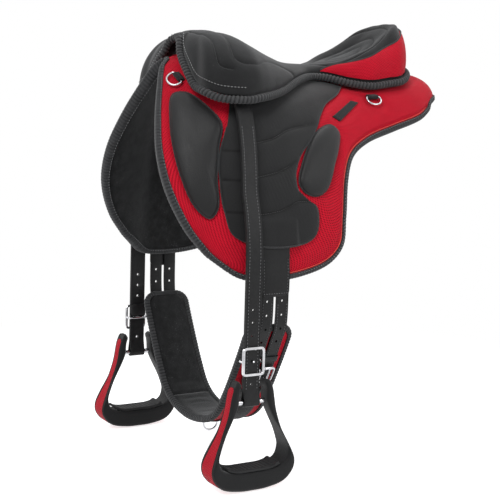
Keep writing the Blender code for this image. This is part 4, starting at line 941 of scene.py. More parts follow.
grey_thread = thread_dye("grey_thread", grey(0.2, 0.205))
sewn_rim = inset_edge(rim[4:-4], STITCHES_INSET)
row = along_skin(sewn_rim, 3.3)
over_billets = [k for k, (y, q) in enumerate(sewn_rim) if -200 < y < -114 and skin_point(y, q).z < -250]
rows = [row[: over_billets[0]], row[over_billets[-1] + 1 :]]
rows.append([(body(y, q, -17.9), -skin_normal(y, q)) for y, q in sewn_rim])
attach(sew("binding_stitches", rows + flipped(rows), grey_thread, 5.4, 3.4, 1.0), "saddle")

bead_roll, given, result = node_group("rolled_bead", {
    "Geometry": "Geometry", "Radius": 0.006, "Step": 0.0012, "Rib pitch": 0.0046, "Rib depth": 0.0,
    "Slant": 1.0, "Sides": 16, "Material": "Material",
}, ("Geometry",), "GeometryNodeTree")


def keep_number(tree, geometry, name, value):
    """Geometry with a number stored on its points."""
    return made_by(tree, "GeometryNodeStoreNamedAttribute", {
        "Geometry": geometry, "Name": name, "Value": value,
    }, data_type="FLOAT", domain="POINT")


along = add_node(bead_roll, "GeometryNodeSplineParameter").outputs
round_it = add_node(bead_roll, "GeometryNodeSplineParameter").outputs
kept = keep_number(bead_roll, spaced_line(bead_roll, given, given["Step"]), "run", along["Length"])
ring = made_by(bead_roll, "GeometryNodeCurvePrimitiveCircle", {
    "Resolution": given["Sides"], "Radius": given["Radius"],
})
ring = keep_number(bead_roll, ring, "turn", round_it["Factor"])
tube = made_by(bead_roll, "GeometryNodeCurveToMesh", {
    "Curve": kept, "Profile Curve": ring, "Fill Caps": True,
})
ribs_past = calculate(bead_roll, "DIVIDE", read_back(bead_roll, "run"), given["Rib pitch"])
leaning = calculate(bead_roll, "MULTIPLY", read_back(bead_roll, "turn"), given["Slant"])
phase = calculate(bead_roll, "ADD", ribs_past, leaning)
wave = calculate(bead_roll, "SINE", calculate(bead_roll, "MULTIPLY", phase, math.pi))
crest = calculate(bead_roll, "ABSOLUTE", wave)
proud = calculate(bead_roll, "MULTIPLY", calculate(bead_roll, "SUBTRACT", crest, 0.5), given["Rib depth"])
shift = made_by(bead_roll, "ShaderNodeVectorMath", {
    0: made_by(bead_roll, "GeometryNodeInputNormal"), 3: proud,
}, operation="SCALE")
ribbed = made_by(bead_roll, "GeometryNodeSetPosition", {"Geometry": tube, "Offset": shift})
# The crest share is kept as rib, where the braid paints its highlight and its shade.
put_out(bead_roll, keep_number(bead_roll, ribbed, "rib", crest), given, result)


def roll(name, lines, material, radius, pitch=4.6, depth=0.0, slant=1.0, step=1.2, sides=12, closed=False):
    return grow(guide(lines, closed), bead_roll, name, Radius=radius * MM, Rib_pitch=pitch * MM,
                Rib_depth=depth * MM, Slant=slant, Step=step * MM, Sides=sides, Material=material)


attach(roll("middle_seam_welt", [ridge], red_mesh, 1.5, step=4.0, sides=8), "saddle")
piping_red = thread_dye("orange_red_piping", (0.72, 0.05, 0.03, 1), 0.5)
piping_line = along_skin(inset_edge(rim[260:600], PIPING_INSET), 0.5)
piping = roll("mesh_piping", [piping_line] + flipped([piping_line]), piping_red, 0.8, step=4.0, sides=6)
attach(piping, "saddle")

# Knee and thigh blocks: foam pads in satin black cloth, sewn on the flap inside a thin welt.
# The filling presses the cover out.


def swell(obj, held, cap, pressure=4.0, frames=20):
    """Blows a padded piece up as its filling does. held says how far each point stays in place."""
    group = obj.vertex_groups.new(name="held")
    for i, share in enumerate(held):
        group.add([i], float(share), "REPLACE")
    rest = np.zeros(len(obj.data.vertices) * 3)
    obj.data.vertices.foreach_get("co", rest)
    cloth = obj.modifiers.new("stuffing", "CLOTH")
    cloth.settings.vertex_group_mass = "held"
    cloth.settings.quality = 6
    cloth.settings.mass = 0.3
    cloth.settings.tension_stiffness = cloth.settings.compression_stiffness = 12
    cloth.settings.shear_stiffness = 6
    cloth.settings.bending_stiffness = 0.6
    cloth.settings.use_pressure = True
    cloth.settings.uniform_pressure_force = pressure
    cloth.settings.effector_weights.gravity = 0
    cloth.point_cache.frame_start, cloth.point_cache.frame_end = 1, frames
    for frame_number in range(1, frames + 1):
        scene.frame_set(frame_number)
    blown = obj.evaluated_get(bpy.context.evaluated_depsgraph_get()).data
    after = np.zeros(len(rest))
    blown.vertices.foreach_get("co", after)
    obj.modifiers.remove(cloth)
    scene.frame_set(1)
    obj.vertex_groups.clear()
    move = (after - rest).reshape(-1, 3)
    far = np.linalg.norm(move, axis=1)
    move *= (np.minimum(far, cap * MM) / np.maximum(far, 1e-9))[:, None]
    obj.data.vertices.foreach_set("co", rest + move.reshape(-1))
    obj.data.update()


def refine(obj):
    """One level of subdivision, made part of the mesh."""
    obj.modifiers.new("finer", "SUBSURF").levels = 1
    mesh = finished(obj)
    obj.modifiers.clear()
    obj.data = mesh


def satin(name, colour, roughness, weave, depth=0.0004, sheen=0.15, gloss=0.12):
    """Close woven cloth with a slight gloss."""
    material, tree, shader, spot = new_material(name, roughness, Sheen_Weight=sheen, Specular_IOR_Level=gloss)
    cloud = use_group(tree, fibres, spot["Object"], Size=26.0, Amount=0.16)
    woven = add_node(tree, "ShaderNodeTexVoronoi", {"Vector": spot["Object"], "Scale": weave})
    # Painted shade darkens the cloth in the grooves of its seams.
    dye(tree, shader, colour, shade_in_seams(tree, cloud["Tone"]))
    vary_roughness(tree, shader, cloud["Height"], 0.3, 0.7, roughness - 0.07, roughness + 0.09)
    add_bump(tree, shader, woven.outputs["Distance"], depth, 0.5)
    add_bump(tree, shader, cloud["Height"], 0.0016, 0.35)
    return material


block_cloth = satin("black_block_cloth", grey(0.010, 0.0105), 0.42, 900.0, gloss=0.22)
BLOCK_SECTORS = 72
BLOCK_SIZES = (1.0, 0.985, 0.96, 0.92, 0.87, 0.8, 0.72, 0.63, 0.53, 0.42, 0.3, 0.17)


def block(name, outline, bed, crown):
    """Rounded pad over a closed outline, in rings round its middle, with the points that its seam holds."""
    edge = on_body(outline, BLOCK_SECTORS, closed=True)
    count = len(edge)
    middle_y, middle_q = (sum(values) / count for values in zip(*edge))
    points, faces, held = [], [], []
    for top in (True, False):
        start = len(points)
        for size in BLOCK_SIZES:
            lift = bed
            if top:
                lift += 3 * smoothstep(0, 0.06, 1 - size + 0.02) + 0.86 * crown * (1 - size**2.6) ** 0.6
            for y, q in edge:
                points.append(body(middle_y + (y - middle_y) * size, middle_q + (q - middle_q) * size, lift))
            held += [1.0 if not top or size > 0.97 else 0.0] * count
        points.append(body(middle_y, middle_q, bed + 3 + 0.86 * crown if top else bed))
        held.append(0.0 if top else 1.0)
        for k in range(len(BLOCK_SIZES) - 1):
            a = start + k * count
            faces += band_faces(a, a + count, count)
        inner = start + (len(BLOCK_SIZES) - 1) * count
        faces += [(inner + j, inner + (j + 1) % count, len(points) - 1) for j in range(count)]
    faces += band_faces(0, len(BLOCK_SIZES) * count + 1, count)
    obj = piece(name, points, faces, block_cloth, sharp=70)
    kept = {tuple(round(c, 4) for c in Vector(p)): h for p, h in zip(points, held)}
    shares = [kept.get(tuple(round(c / MM, 4) for c in v.co), 0.0) for v in obj.data.vertices]
    return obj, shares, edge


for name, outline, bed, crown, node in (
    ("knee_pad_left", KNEE_BLOCK, BED + 1.2, 14.0, "knee_block_side"),
    ("thigh_pad_left", THIGH_BLOCK, BED, 12.0, "thigh_block_side"),
):
    pad, shares, edge = block(name, outline, bed, crown)
    swell(pad, shares, 3.0)
    refine(pad)
    both_sides(pad, "saddle", node, fill=0.85)
    welt = [along_skin([(y, q) for y, q in edge], bed + 0.9)]
    welt_name = name.replace("left", "welt")
    each_side(roll, welt_name, welt, "saddle", edge_braid, 1.25, 2.4, 0.25, 0.5, 0.9, 8, closed=True)

# Fenders: quilted pads of black cloth over foam, sewn on the flaps under the leathers and over the billets'
# tops. Three channels cross each of them and a rolled edge goes round it.
CHANNELS = (
    Profile(((-243, -114), (-213, -114), (-187, -102), (-149, -93), (-117, -79), (-57, -67))),
    Profile(((-243, -161), (-213, -161), (-184, -155), (-144, -146), (-109, -130))),
    Profile(((-243, -213), (-213, -213), (-189, -216), (-155, -212), (-112, -196))),
)
FENDER_COLUMNS, FENDER_ROWS = 78, 112
FENDER_BASE, FENDER_CROWN, STRAP_VALLEY, HANGER_DIP = 2.6, 4.4, 1.4, 1.5
CHANNEL_DEPTH, CHANNEL_REACH, GROOVE_REACH, STRAP_REACH = 4.4, 5.5, 2.3, 27
LEATHER_Y, LEATHER_TOP_Y = -209.0, -198.0
BILLET_Y = -160.0
SEAT_SIDE = Profile(SEAT_EDGE[4:])


def leather_shift(z):
    """How far the leather stands behind its hanging line at this height."""
    return (LEATHER_TOP_Y - LEATHER_Y) * smoothstep(-215, -20, z)


def billet_room(y, z):
    """Extra height over the billets where they pass under the fender."""
    across = smoothstep(-216, -197, y) * (1 - smoothstep(-123, -106, y))
    hollow = skin_point(BILLET_Y, turn_at(BILLET_Y, z)).x - skin_point(y, turn_at(y, z)).x
    return (5.4 + max(hollow, 0.0)) * across * (1 - smoothstep(-228, -214, z))


def fender_height(u, v, y, z):
    """Height of the quilted face over the flap, and how much painted shade darkens it in the channels'
    grooves.
    """
    edge = (1 - abs(2 * u - 1) ** 7) * (1 - (1 - v) ** 9) * (1 - v**14)
    nearest = min(abs(z - line(y)) for line in CHANNELS)
    channel = math.exp(-nearest / CHANNEL_REACH)
    groove = math.exp(-((nearest / GROOVE_REACH) ** 2))
    clear_of_seat = smoothstep(4, 30, SEAT_SIDE(y) - z)
    under_strap = math.exp(-(((y - LEATHER_Y - leather_shift(z)) / STRAP_REACH) ** 6))
    crown = (FENDER_CROWN * edge**0.6 - CHANNEL_DEPTH * channel * edge) * clear_of_seat
    height = FENDER_BASE + crown * (1 - under_strap) + STRAP_VALLEY * under_strap * clear_of_seat
    height -= groove * edge * (1 - under_strap)
    return height, groove * smoothstep(0, 0.3, edge) * clear_of_seat


def points_tree(points):
    """Finds the nearest of the points."""
    tree = KDTree(len(points))
    for i, p in enumerate(points):
        tree.insert(p * MM, i)
    tree.balance()
    return tree


fender_grid = patch(
    on_body(FENDER_TOP, FENDER_COLUMNS + 1), on_body(FENDER_BOTTOM, FENDER_COLUMNS + 1),
    on_body(FENDER_FRONT, FENDER_ROWS + 1), on_body(FENDER_REAR, FENDER_ROWS + 1),
)
top, under, groove_shade = [], [], []
for i, row in enumerate(fender_grid):
    top.append([])
    under.append([])
    for j, (y, q) in enumerate(row):
        z = skin_point(y, q).z
        room = billet_room(y, z)
        height, groove = fender_height(j / FENDER_COLUMNS, i / FENDER_ROWS, y, z)
        groove_shade.append((body(y, q, BED), groove))
        pucker = 0.18 * math.sin(y * 0.9 + z * 0.35) * smoothstep(0.5, 6, height - FENDER_BASE)
        dip = HANGER_DIP * math.exp(-(((y - LEATHER_TOP_Y) / 15) ** 2) - ((z + 25) / 10) ** 2)
        top[-1].append(body(y, q, BED + max(height + pucker, room + FENDER_BASE) - dip))
        under[-1].append(body(y, q, BED + room))
fender_cloth = satin("black_quilted_cloth", grey(0.012, 0.0125), 0.56, 760.0, 0.0005, 0.2)
quilted = slab("quilted_fender_left", top, under, fender_cloth, 70)
near_groove = points_tree([p for p, _ in groove_shade])
# The attribute seam holds painted shade in the quilting grooves.
paint_attribute(quilted, "seam", [groove_shade[near_groove.find(v.co)[1]][1] for v in quilted.data.vertices])
both_sides(quilted, "saddle", "fender_side", fill=0.5)

black_thread = thread_dye("black_thread", grey(0.07, 0.072))


def height_on_fender(y, z):
    height, _ = fender_height(0.5, 0.5, y, z)
    return BED + max(height, billet_room(y, z) + FENDER_BASE)


quilting = []
for line, (start, stop) in zip(CHANNELS, ((-190, -62), (-190, -104), (-190, -86))):
    places = [(y, turn_at(y, line(y))) for y in np.linspace(start, stop, 60)]
    quilting.append([(body(y, q, height_on_fender(y, line(y)) + 0.25), skin_normal(y, q)) for y, q in places])
    places = [(y, turn_at(y, line(y))) for y in np.linspace(-239, -226, 8)]
    quilting.append([(body(y, q, height_on_fender(y, line(y)) - 1.2), skin_normal(y, q)) for y, q in places])
each_side(sew, "fender_quilting", quilting, "saddle", black_thread, 4.4, 3.0, 0.9)
edge_line = on_body(FENDER_FRONT[1:-1] + FENDER_BOTTOM + FENDER_REAR[-2::-1], 320)
rolled = [along_skin(edge_line, BED + 1.7)]
for k, (y, q) in enumerate(edge_line):
    point, normal = rolled[0][k]
    room = billet_room(y, skin_point(y, q).z)
    rolled[0][k] = (point + normal * (room + 1.2 * smoothstep(0, 5, room)), normal)
each_side(roll, "fender_rolled_edge", rolled, "saddle", edge_braid, 1.5, 3.0, 0.3, 0.6, 1.0, 8)

# Patch: a bare piece of black webbing sewn on the near rear of the red mesh, with stitches round its edge.
# Its rim is pressed down a little, and there is nothing on it.
patch_web = satin("black_patch_web", grey(0.014, 0.015), 0.55, 1400.0)
rows_up, rows_down = [], []
for i in range(13):
    near = Vector(LABEL[0]).lerp(Vector(LABEL[3]), i / 12)
    far = Vector(LABEL[1]).lerp(Vector(LABEL[2]), i / 12)
    spots = [near.lerp(far, j / 30) for j in range(31)]
    soft = [min(min(i, 12 - i) / 1.5, min(j, 30 - j) / 1.5, 1) for j in range(31)]
    rows_up.append([body(p[0], turn_at(*p), BED + 0.4 + 0.8 * s) for p, s in zip(spots, soft)])
    rows_down.append([body(p[0], turn_at(*p), -0.4) for p in spots])
bare_patch = slab("bare_patch", rows_up, rows_down, patch_web)
settle(bare_patch, "saddle", "label_patch")
centre = sum((Vector(p) for p in LABEL), Vector((0, 0))) / 4
corners = [centre.lerp(Vector(p), 0.88) for p in LABEL]
ring = [a.lerp(b, k / 12) for a, b in zip(corners, corners[1:] + corners[:1]) for k in range(12)]
patch_edge = along_skin([(p[0], turn_at(*p)) for p in ring], BED + 1.35)
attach(sew("patch_stitches", [patch_edge], black_thread, 2.6, 1.9, 0.5, closed=True), "saddle")

# Seat: foam under fine black suede, stitched in curved panels over the pommel and in nested loops in its
# dish. It stands clear of the body over the leathers, and a wide lip runs round the cantle.
SEAT_LINE = (
    (-205, 92), (-183, 89), (-154, 77), (-99, 55), (-69, 46), (-33, 43), (0, 43), (34, 46), (75, 54),
    (124, 69), (165, 95), (190, 118.5), (203, 129),
)
SEAT_LIFT, SEAT_EDGE_THICK, LIP_REACH = 8.2, 9.0, 0.24
SEAM_PULL, SEAM_POINTS = ((1.3, 2.3), (0.9, 7.0)), 400
SEAT_FULLNESS = ((-238, 2.2), (-100, 2.4), (20, 2.6), (90, 3.2), (170, 2.7), (227, 2.0))
STRAP_ROOM, HANGER_ROOM, HANGER_ROOM_AHEAD, HANGER_ROOM_BEHIND = 19.0, 4.4, 44.0, 62.0
ARCH_ROOM = 4.0
SEAT_BINDING_RADIUS = 5.6
CANTLE_RIM = ((20, 0), (60, 5), (110, 16), (168, 19), (203, 9), (227, 4))
CANTLE_CREST = ((20, 0.3), (60, 0.14), (110, 0.2), (168, 0.33), (215, 0.4))
SEAT_STATIONS, SEAT_STEPS, SEAT_UNDER_STEPS = 121, 32, 6
POMMEL_SEAMS = (
    ((0, -233), (50, -231), (98, -232), (122, -238), (136, -239.5), (146, -231.5), (152, -222)),
    (
        (0, -192), (50, -196), (100, -205), (128, -212), (141, -214), (149, -206.5), (152, -192), (149, -171),
        (133, -149), (111, -115), (96, -70), (84, -25), (77, 20),
    ),
)
DISH_LOOPS = (
    (
        (0, 20), (24, 23), (42, 29), (57, 44), (66, 64), (72, 86), (73, 104), (68, 130), (58, 160), (40, 182),
        (20, 191), (0, 194),
    ),
    ((0, 47), (20, 51), (36, 65), (45, 88), (45, 112), (38, 140), (26, 160), (12, 169), (0, 172)),
    ((0, 74), (13, 80), (22, 98), (21, 120), (13, 140), (0, 150)),
)


def seat_lift(y, across):
    """Room between body and seat, with a pocket for the leather's top and its hanger."""
    ahead = LEATHER_TOP_Y - y
    near = math.exp(-((ahead / HANGER_ROOM_AHEAD) ** 12))
    if ahead < 0:
        near = math.exp(-((ahead / HANGER_ROOM_BEHIND) ** 4))
    beside = 1 - smoothstep(0.55, 0.8, across)
    lift = SEAT_LIFT + near * beside * (STRAP_ROOM + HANGER_ROOM * smoothstep(0, 0.2, across))
    return lift + ARCH_ROOM * smoothstep(0.4, 0.6, across) * (1 - smoothstep(-180, -150, y))


seat_outline = on_body(SEAT_EDGE, SEAT_STATIONS)
seat_outline[0] = (seat_outline[0][0], 0.0)
seat_outline[-1] = (seat_outline[-1][0], 0.0)
seat_edge = inset_edge(seat_outline, SEAT_BINDING_RADIUS + 0.6)
SEAT_MIDDLE, SEAT_FULL = Profile(SEAT_LINE), Profile(SEAT_FULLNESS)
RIM_HEIGHT, RIM_PLACE = Profile(CANTLE_RIM), Profile(CANTLE_CREST)


def edge_lift(y):
    """Height of the seat's lower edge over the body, eased behind the pocket."""
    eased_lift = sum(seat_lift(y + 7 * k, 0) for k in range(-4, 5)) / 9
    share = smoothstep(-182, -160, y)
    return seat_lift(y, 0) * (1 - share) + eased_lift * share


def seat_top(y, q, w):
    """Point of the seat's upper face: w runs from 0 on the lower edge to 1 on the middle line."""
    middle_y = min(max(y, SEAT_LINE[0][0]), SEAT_LINE[-1][0])
    middle = Vector((0, middle_y, SEAT_MIDDLE(middle_y)))
    foot = body(y, q, edge_lift(y) + SEAT_EDGE_THICK)
    turn = w * math.pi / 2
    across = 1 - math.cos(turn) ** (2 / SEAT_FULL(y))
    point = foot.lerp(middle, across)
    point.z = foot.z + (middle.z - foot.z) * math.sin(turn) ** (2 / SEAT_FULL(y))
    point.z += RIM_HEIGHT(y) * math.exp(-(((across - RIM_PLACE(y)) / LIP_REACH) ** 2)) * smoothstep(0, 0.3, w)
    return point


def seat_under(y, q, w):
    middle_y = min(max(y, SEAT_LINE[0][0]), SEAT_LINE[-1][0])
    across = 1 - math.cos(w * math.pi / 2) ** (2 / SEAT_FULL(y))
    return body(y + (middle_y - y) * across, q * (1 - across), seat_lift(y, across))


def seat_normal(i, w):
    """Outward direction of the seat's upper face at a station of its edge."""
    y, q = seat_edge[i]
    ahead, behind = seat_edge[min(i + 1, len(seat_edge) - 1)], seat_edge[max(i - 1, 0)]
    along = seat_top(*ahead, w) - seat_top(*behind, w)
    rise = seat_top(y, q, min(w + 0.02, 1)) - seat_top(y, q, max(w - 0.02, 0))
    normal = along.cross(rise).normalized()
    if q < 0.01:
        normal.x = 0
    return normal


faces, points, starts, crown = [], [], [], []
for face_of, steps in ((seat_top, SEAT_STEPS), (seat_under, SEAT_UNDER_STEPS)):
    rows = whole_loop(on_centre([[face_of(y, q, k / steps) for k in range(steps + 1)] for y, q in seat_edge]))
    starts.append((len(points), steps + 1))
    for i, row in enumerate(rows):
        k = (i + 1) % len(rows)
        for j in range(steps):
            a, b = starts[-1][0] + i * (steps + 1) + j, starts[-1][0] + k * (steps + 1) + j
            faces.append((a, b, b + 1, a + 1))
        crown += [face_of is seat_top and j > 3 for j in range(steps + 1)]
    points += [p for row in rows for p in row]
(top_start, wide), (low_start, narrow) = starts
for i in range(len(rows)):
    k = (i + 1) % len(rows)
    a, b = top_start + i * wide, low_start + i * narrow
    faces.append((a, b, low_start + k * narrow, top_start + k * wide))
seat_suede = brushed("black_seat_suede", grey(0.017, 0.0175), 0.36, 0.85, 0.28, 42.0)
seat = piece("suede_seat", points, faces, seat_suede, sharp=60)


def tree_of(obj):
    return BVHTree.FromPolygons([v.co for v in obj.data.vertices], [p.vertices for p in obj.data.polygons])


def drop_on(tree, line, lift):
    """Line of (point, normal) straight under a plan, on the surface below it."""
    found = []
    for p in Route([(x, y, 0) for x, y in line]).even(SEAM_POINTS):
        spot, normal, _, _ = tree.ray_cast(Vector((p.x, p.y, 300)) * MM, -Z_AXIS)
        if spot is not None:
            found.append((spot / MM + normal * lift, normal))
    return found


def across_middle(half):
    """A plan line of the left side carried over to the right."""
    return [(-x, y) for x, y in half[:0:-1]] + list(half)


seat_shape = tree_of(seat)
seams = [drop_on(seat_shape, across_middle(half), 0) for half in POMMEL_SEAMS + DISH_LOOPS]
SEAM_HELD = 4.0
near_seam = points_tree([p for line in seams for p, _ in line])
free = {tuple(round(c, 3) for c in p) for p, above in zip(points, crown) if above}
held = []
for v in seat.data.vertices:
    loose = tuple(round(c / MM, 3) for c in v.co) in free
    held.append(1.0 if not loose or near_seam.find(v.co)[2] < SEAM_HELD * MM else 0.0)
swell(seat, held, 2.4)
refine(seat)
seat_mesh = seat.data
normals = [v.normal.copy() for v in seat_mesh.vertices]
# Painted shade along the quilting seams, kept as the attribute seam.
seam_shade = []
for v, normal in zip(seat_mesh.vertices, normals):
    far = near_seam.find(v.co)[2] / MM
    v.co -= normal * MM * sum(depth * math.exp(-((far / reach) ** 2)) for depth, reach in SEAM_PULL)
    seam_shade.append(0.8 * math.exp(-((far / 1.9) ** 2)))
seat_mesh.update()
paint_attribute(seat, "seam", seam_shade)
settle(seat, "saddle", "seat", fill=0.8)

DISH_SIZE, DISH_MIDDLE, FRONT_ROW_INSET = 70, 105, 10.5
seat_thread = thread_dye("seat_thread", grey(0.05, 0.052))
seat_shape = tree_of(seat)
sewn_lines = [drop_on(seat_shape, across_middle(half), 0.15) for half in POMMEL_SEAMS]
for half in DISH_LOOPS:
    for apart in (-2.4, 2.4):
        share = 1 + apart / DISH_SIZE
        moved = [(x * share, DISH_MIDDLE + (y - DISH_MIDDLE) * share) for x, y in half]
        sewn_lines.append(drop_on(seat_shape, across_middle(moved), 0.2))
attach(sew("seat_quilting", sewn_lines, seat_thread, 3.4, 2.4, 0.6), "saddle")
front_row = []
for i in range(1, 28):
    y, q = seat_edge[i]
    share = FRONT_ROW_INSET / (seat_top(y, q, 1.0) - seat_top(y, q, 0.0)).length
    front_row.append((seat_top(y, q, share) + seat_normal(i, share) * 0.5, seat_normal(i, share)))
pale_thread = thread_dye("pale_thread", grey(0.42))
front_rows = [front_row] + flipped([front_row])
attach(sew("seat_front_stitches", front_rows, pale_thread, 5.6, 3.4, 1.2), "saddle")

# Cantle band: a strip of the red mesh under the seat's lip, from one side round the back to the other.
# A thin black piping closes it against the lip.
CANTLE_BAND = ((20, 5), (34, 12), (52, 22), (108, 44), (164, 63), (205, 74), (227, 76))
CANTLE_BAND_FOOT, BAND_STEPS = 3.8, 10
BAND_HEIGHT = Profile(CANTLE_BAND)


def wall_share(y, q, height):
    """Share of the seat's cross-section at a height above its lower edge."""
    target = seat_top(y, q, 0).z + height
    low, high = 0.0, 0.62
    for _ in range(12):
        middle = (low + high) / 2
        if seat_top(y, q, middle).z < target:
            low = middle
        else:
            high = middle
    return low


outer, inner, lip_line = [], [], []
for i, (y, q) in enumerate(seat_edge):
    if y < CANTLE_BAND[0][0]:
        continue
    outer.append([])
    inner.append([])
    foot, reach = wall_share(y, q, CANTLE_BAND_FOOT), wall_share(y, q, BAND_HEIGHT(y))
    for step in range(BAND_STEPS + 1):
        share = step / BAND_STEPS
        w = foot + (reach - foot) * share
        normal = seat_normal(i, w)
        puff = 2.6 + 2.4 * math.sin(math.pi * share) ** 0.6 * smoothstep(20, 60, y)
        outer[-1].append(seat_top(y, q, w) + normal * puff)
        inner[-1].append(seat_top(y, q, w) + normal * -0.6)
    lip_line.append((seat_top(y, q, reach) + seat_normal(i, reach) * 2.4, seat_normal(i, reach)))
for rows in (outer, inner):
    for point in rows[-1]:
        point.x = 0.0
    rows.extend([[mirrored(p) for p in row] for row in rows[-2::-1]])
band = slab("red_cantle_band", outer, inner, red_mesh, 60)
settle(band, "saddle", "cantle_band")
lip_line[-1][0].x = 0.0
lip_line += [(mirrored(p), mirrored(n)) for p, n in lip_line[-2::-1]]
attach(roll("cantle_piping", [lip_line], edge_braid, 1.5, 3.0, 0.3, 0.6, 1.2, 8), "saddle")

# Seat binding: a thick roll of black braid round the seat's lower edge, overlocked in slanting ribs.
# It follows that edge a little above the body.
bound = []
for i, (point, outward, normal) in enumerate(edge_frames(seat_outline)):
    centre = point + normal * (edge_lift(seat_edge[i][0]) + 4.5)
    bound.append((centre, normal))
bound[0][0].x = bound[-1][0].x = 0.0
bound += [(mirrored(p), mirrored(n)) for p, n in bound[-2:0:-1]]
# Its paler crest colour is a painted highlight on the slanting ribs, and its dark colour painted shade
# between them.
seat_braid = braid("black_seat_braid", grey(0.004, 0.0045), grey(0.055, 0.057), 0.6)
seat_binding = roll("braided_seat_binding", [bound], seat_braid, 6.0, 6.6, 1.9, 1.0, 0.95, 16, closed=True)
settle(seat_binding, "saddle", "seat_binding")

# Rigging under the seat: webbing over the back, the stiff arch of the pommel, and moulded blocks with the
# pins that the steel hangers turn on. These keep their CAD shapes and get woven, moulded and polished looks.
weave, given, result = node_group("plain_weave", {"Vector": "Vector", "Pitch": 0.0015}, ("Height",))
scaled = made_by(weave, "ShaderNodeVectorMath", {
    0: given["Vector"], 3: calculate(weave, "DIVIDE", 2 * math.pi, given["Pitch"]),
}, operation="SCALE")
parts = add_node(weave, "ShaderNodeSeparateXYZ", {0: scaled})
crossing = calculate(weave, "MULTIPLY", calculate(weave, "SINE", parts.outputs[0]),
                     calculate(weave, "SINE", parts.outputs[1]))
weave.links.new(calculate(weave, "MULTIPLY_ADD", crossing, 0.5, 0.5), result["Height"])

grain, given, result = node_group("leather_grain", {"Vector": "Vector", "Size": 900.0}, ("Height", "Tone"))
pebbles = add_node(grain, "ShaderNodeTexVoronoi", {
    "Vector": given["Vector"], "Scale": given["Size"], "Randomness": 0.9,
}, feature="SMOOTH_F1")
creases = made_by(grain, "ShaderNodeTexNoise", {
    "Vector": given["Vector"], "Scale": calculate(grain, "MULTIPLY", given["Size"], 0.16), "Detail": 4.0,
})
grain.links.new(calculate(grain, "ADD", calculate(grain, "MULTIPLY", pebbles.outputs["Distance"], 0.6),
                          calculate(grain, "MULTIPLY", creases, 0.5)), result["Height"])
grain.links.new(remap(grain, creases, 0.3, 0.7, 0.86, 1.14), result["Tone"])

edge_wear, given, result = node_group("edge_wear", {"Vector": "Vector", "Amount": 0.5}, ("Mask",))
sharpness = add_node(edge_wear, "ShaderNodeNewGeometry").outputs["Pointiness"]
patchy = clouds(edge_wear, given["Vector"], 70.0, 4.0)
worn = calculate(edge_wear, "MULTIPLY", remap(edge_wear, sharpness, 0.515, 0.62),
                 remap(edge_wear, patchy, 0.35, 0.6))
edge_wear.links.new(calculate(edge_wear, "MULTIPLY", worn, given["Amount"]), result["Mask"])


def rubbed_dye(tree, shader, spot, colour, worn_colour, wear, tone):
    """Colour times tone, paler where the edges have rubbed."""
    rubbed = use_group(tree, edge_wear, spot["Object"], Amount=wear)
    dye(tree, shader, mix_colours(tree, rubbed["Mask"], colour, worn_colour), tone)


def worn_cloth(name, colour, worn_colour, roughness, pitch):
    """Woven webbing, paler where its edges have rubbed."""
    material, tree, shader, spot = new_material(name, roughness, Sheen_Weight=0.15, Specular_IOR_Level=0.12)
    woven = use_group(tree, weave, spot["Object"], Pitch=pitch)
    lint = use_group(tree, fibres, spot["Object"], Size=80.0, Amount=0.2)
    rubbed_dye(tree, shader, spot, colour, worn_colour, 0.5, lint["Tone"])
    add_bump(tree, shader, woven["Height"], 0.0004, 0.7)
    return material


def moulded(name, colour, worn_colour, roughness):
    """Moulded rubber or plastic with a fine spark texture and rubbed edges."""
    material, tree, shader, spot = new_material(name, roughness, Specular_IOR_Level=0.2)
    spark = use_group(tree, fibres, spot["Object"], Size=160.0, Amount=0.12)
    rubbed_dye(tree, shader, spot, colour, worn_colour, 0.6, spark["Tone"])
    vary_roughness(tree, shader, spark["Height"], 0.3, 0.7, roughness - 0.08, roughness + 0.08)
    add_bump(tree, shader, spark["Height"], 0.0003, 0.5)
    return material


def polished(name, colour, roughness):
    """Polished steel with faint scratches and a slightly duller film in places."""
    material, tree, shader, spot = new_material(name, roughness, 1.0)
    film = clouds(tree, spot["Object"], 90.0, 6.0)
    stretched = made_by(tree, "ShaderNodeMapping", {"Vector": spot["Object"], "Scale": (400, 400, 6000)})
    scratches = clouds(tree, stretched, 1.0, 2.0)
    tone = remap(tree, film, 0.3, 0.7, 0.86, 1.04)
    rubbed_dye(tree, shader, spot, colour, grey(0.95, 0.96), 0.6, tone)
    vary_roughness(tree, shader, film, 0.35, 0.7, roughness - 0.05, roughness + 0.12)
    add_bump(tree, shader, scratches, 0.00004, 0.4)
    return material


def dress(material, *nodes):
    """Gives parts that keep their own shape a surface."""
    for node in nodes:
        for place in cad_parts[node].material_slots:
            place.material = material


webbing = worn_cloth("black_webbing", grey(0.012, 0.0125), grey(0.05), 0.7, 0.0016)
hard_plastic = moulded("moulded_black", grey(0.018, 0.019), grey(0.05), 0.5)
steel = polished("polished_steel", grey(0.56, 0.58), 0.13)
dress(webbing, "rigging_web")
dress(hard_plastic, "pommel_arch", "strap_mount_left", "strap_mount_right")
dress(steel, "strap_hanger_left", "strap_hanger_right")

# Dee rings: bent steel wire in folded webbing tabs, two in front beside the pommel and two behind the seat.
# The wire has soft corners, and each tab is stitched flat.


def softened(corners, radius, steps=5, closed=True):
    """Outline with its corners rounded."""
    count = len(corners)
    path = []
    for i, corner in enumerate(corners):
        if not closed and i in (0, count - 1):
            path.append(corner)
            continue
        before, after = corners[i - 1], corners[(i + 1) % count]
        reach = min(radius, (before - corner).length * 0.48, (after - corner).length * 0.48)
        a = corner + (before - corner).normalized() * reach
        b = corner + (after - corner).normalized() * reach
        for k in range(steps + 1):
            t = k / steps
            path.append(a * (1 - t) ** 2 + corner * 2 * t * (1 - t) + b * t * t)
    return path


def running(path, i):
    """Direction of an open path at one of its points."""
    return (path[min(i + 1, len(path) - 1)] - path[max(i - 1, 0)]).normalized()


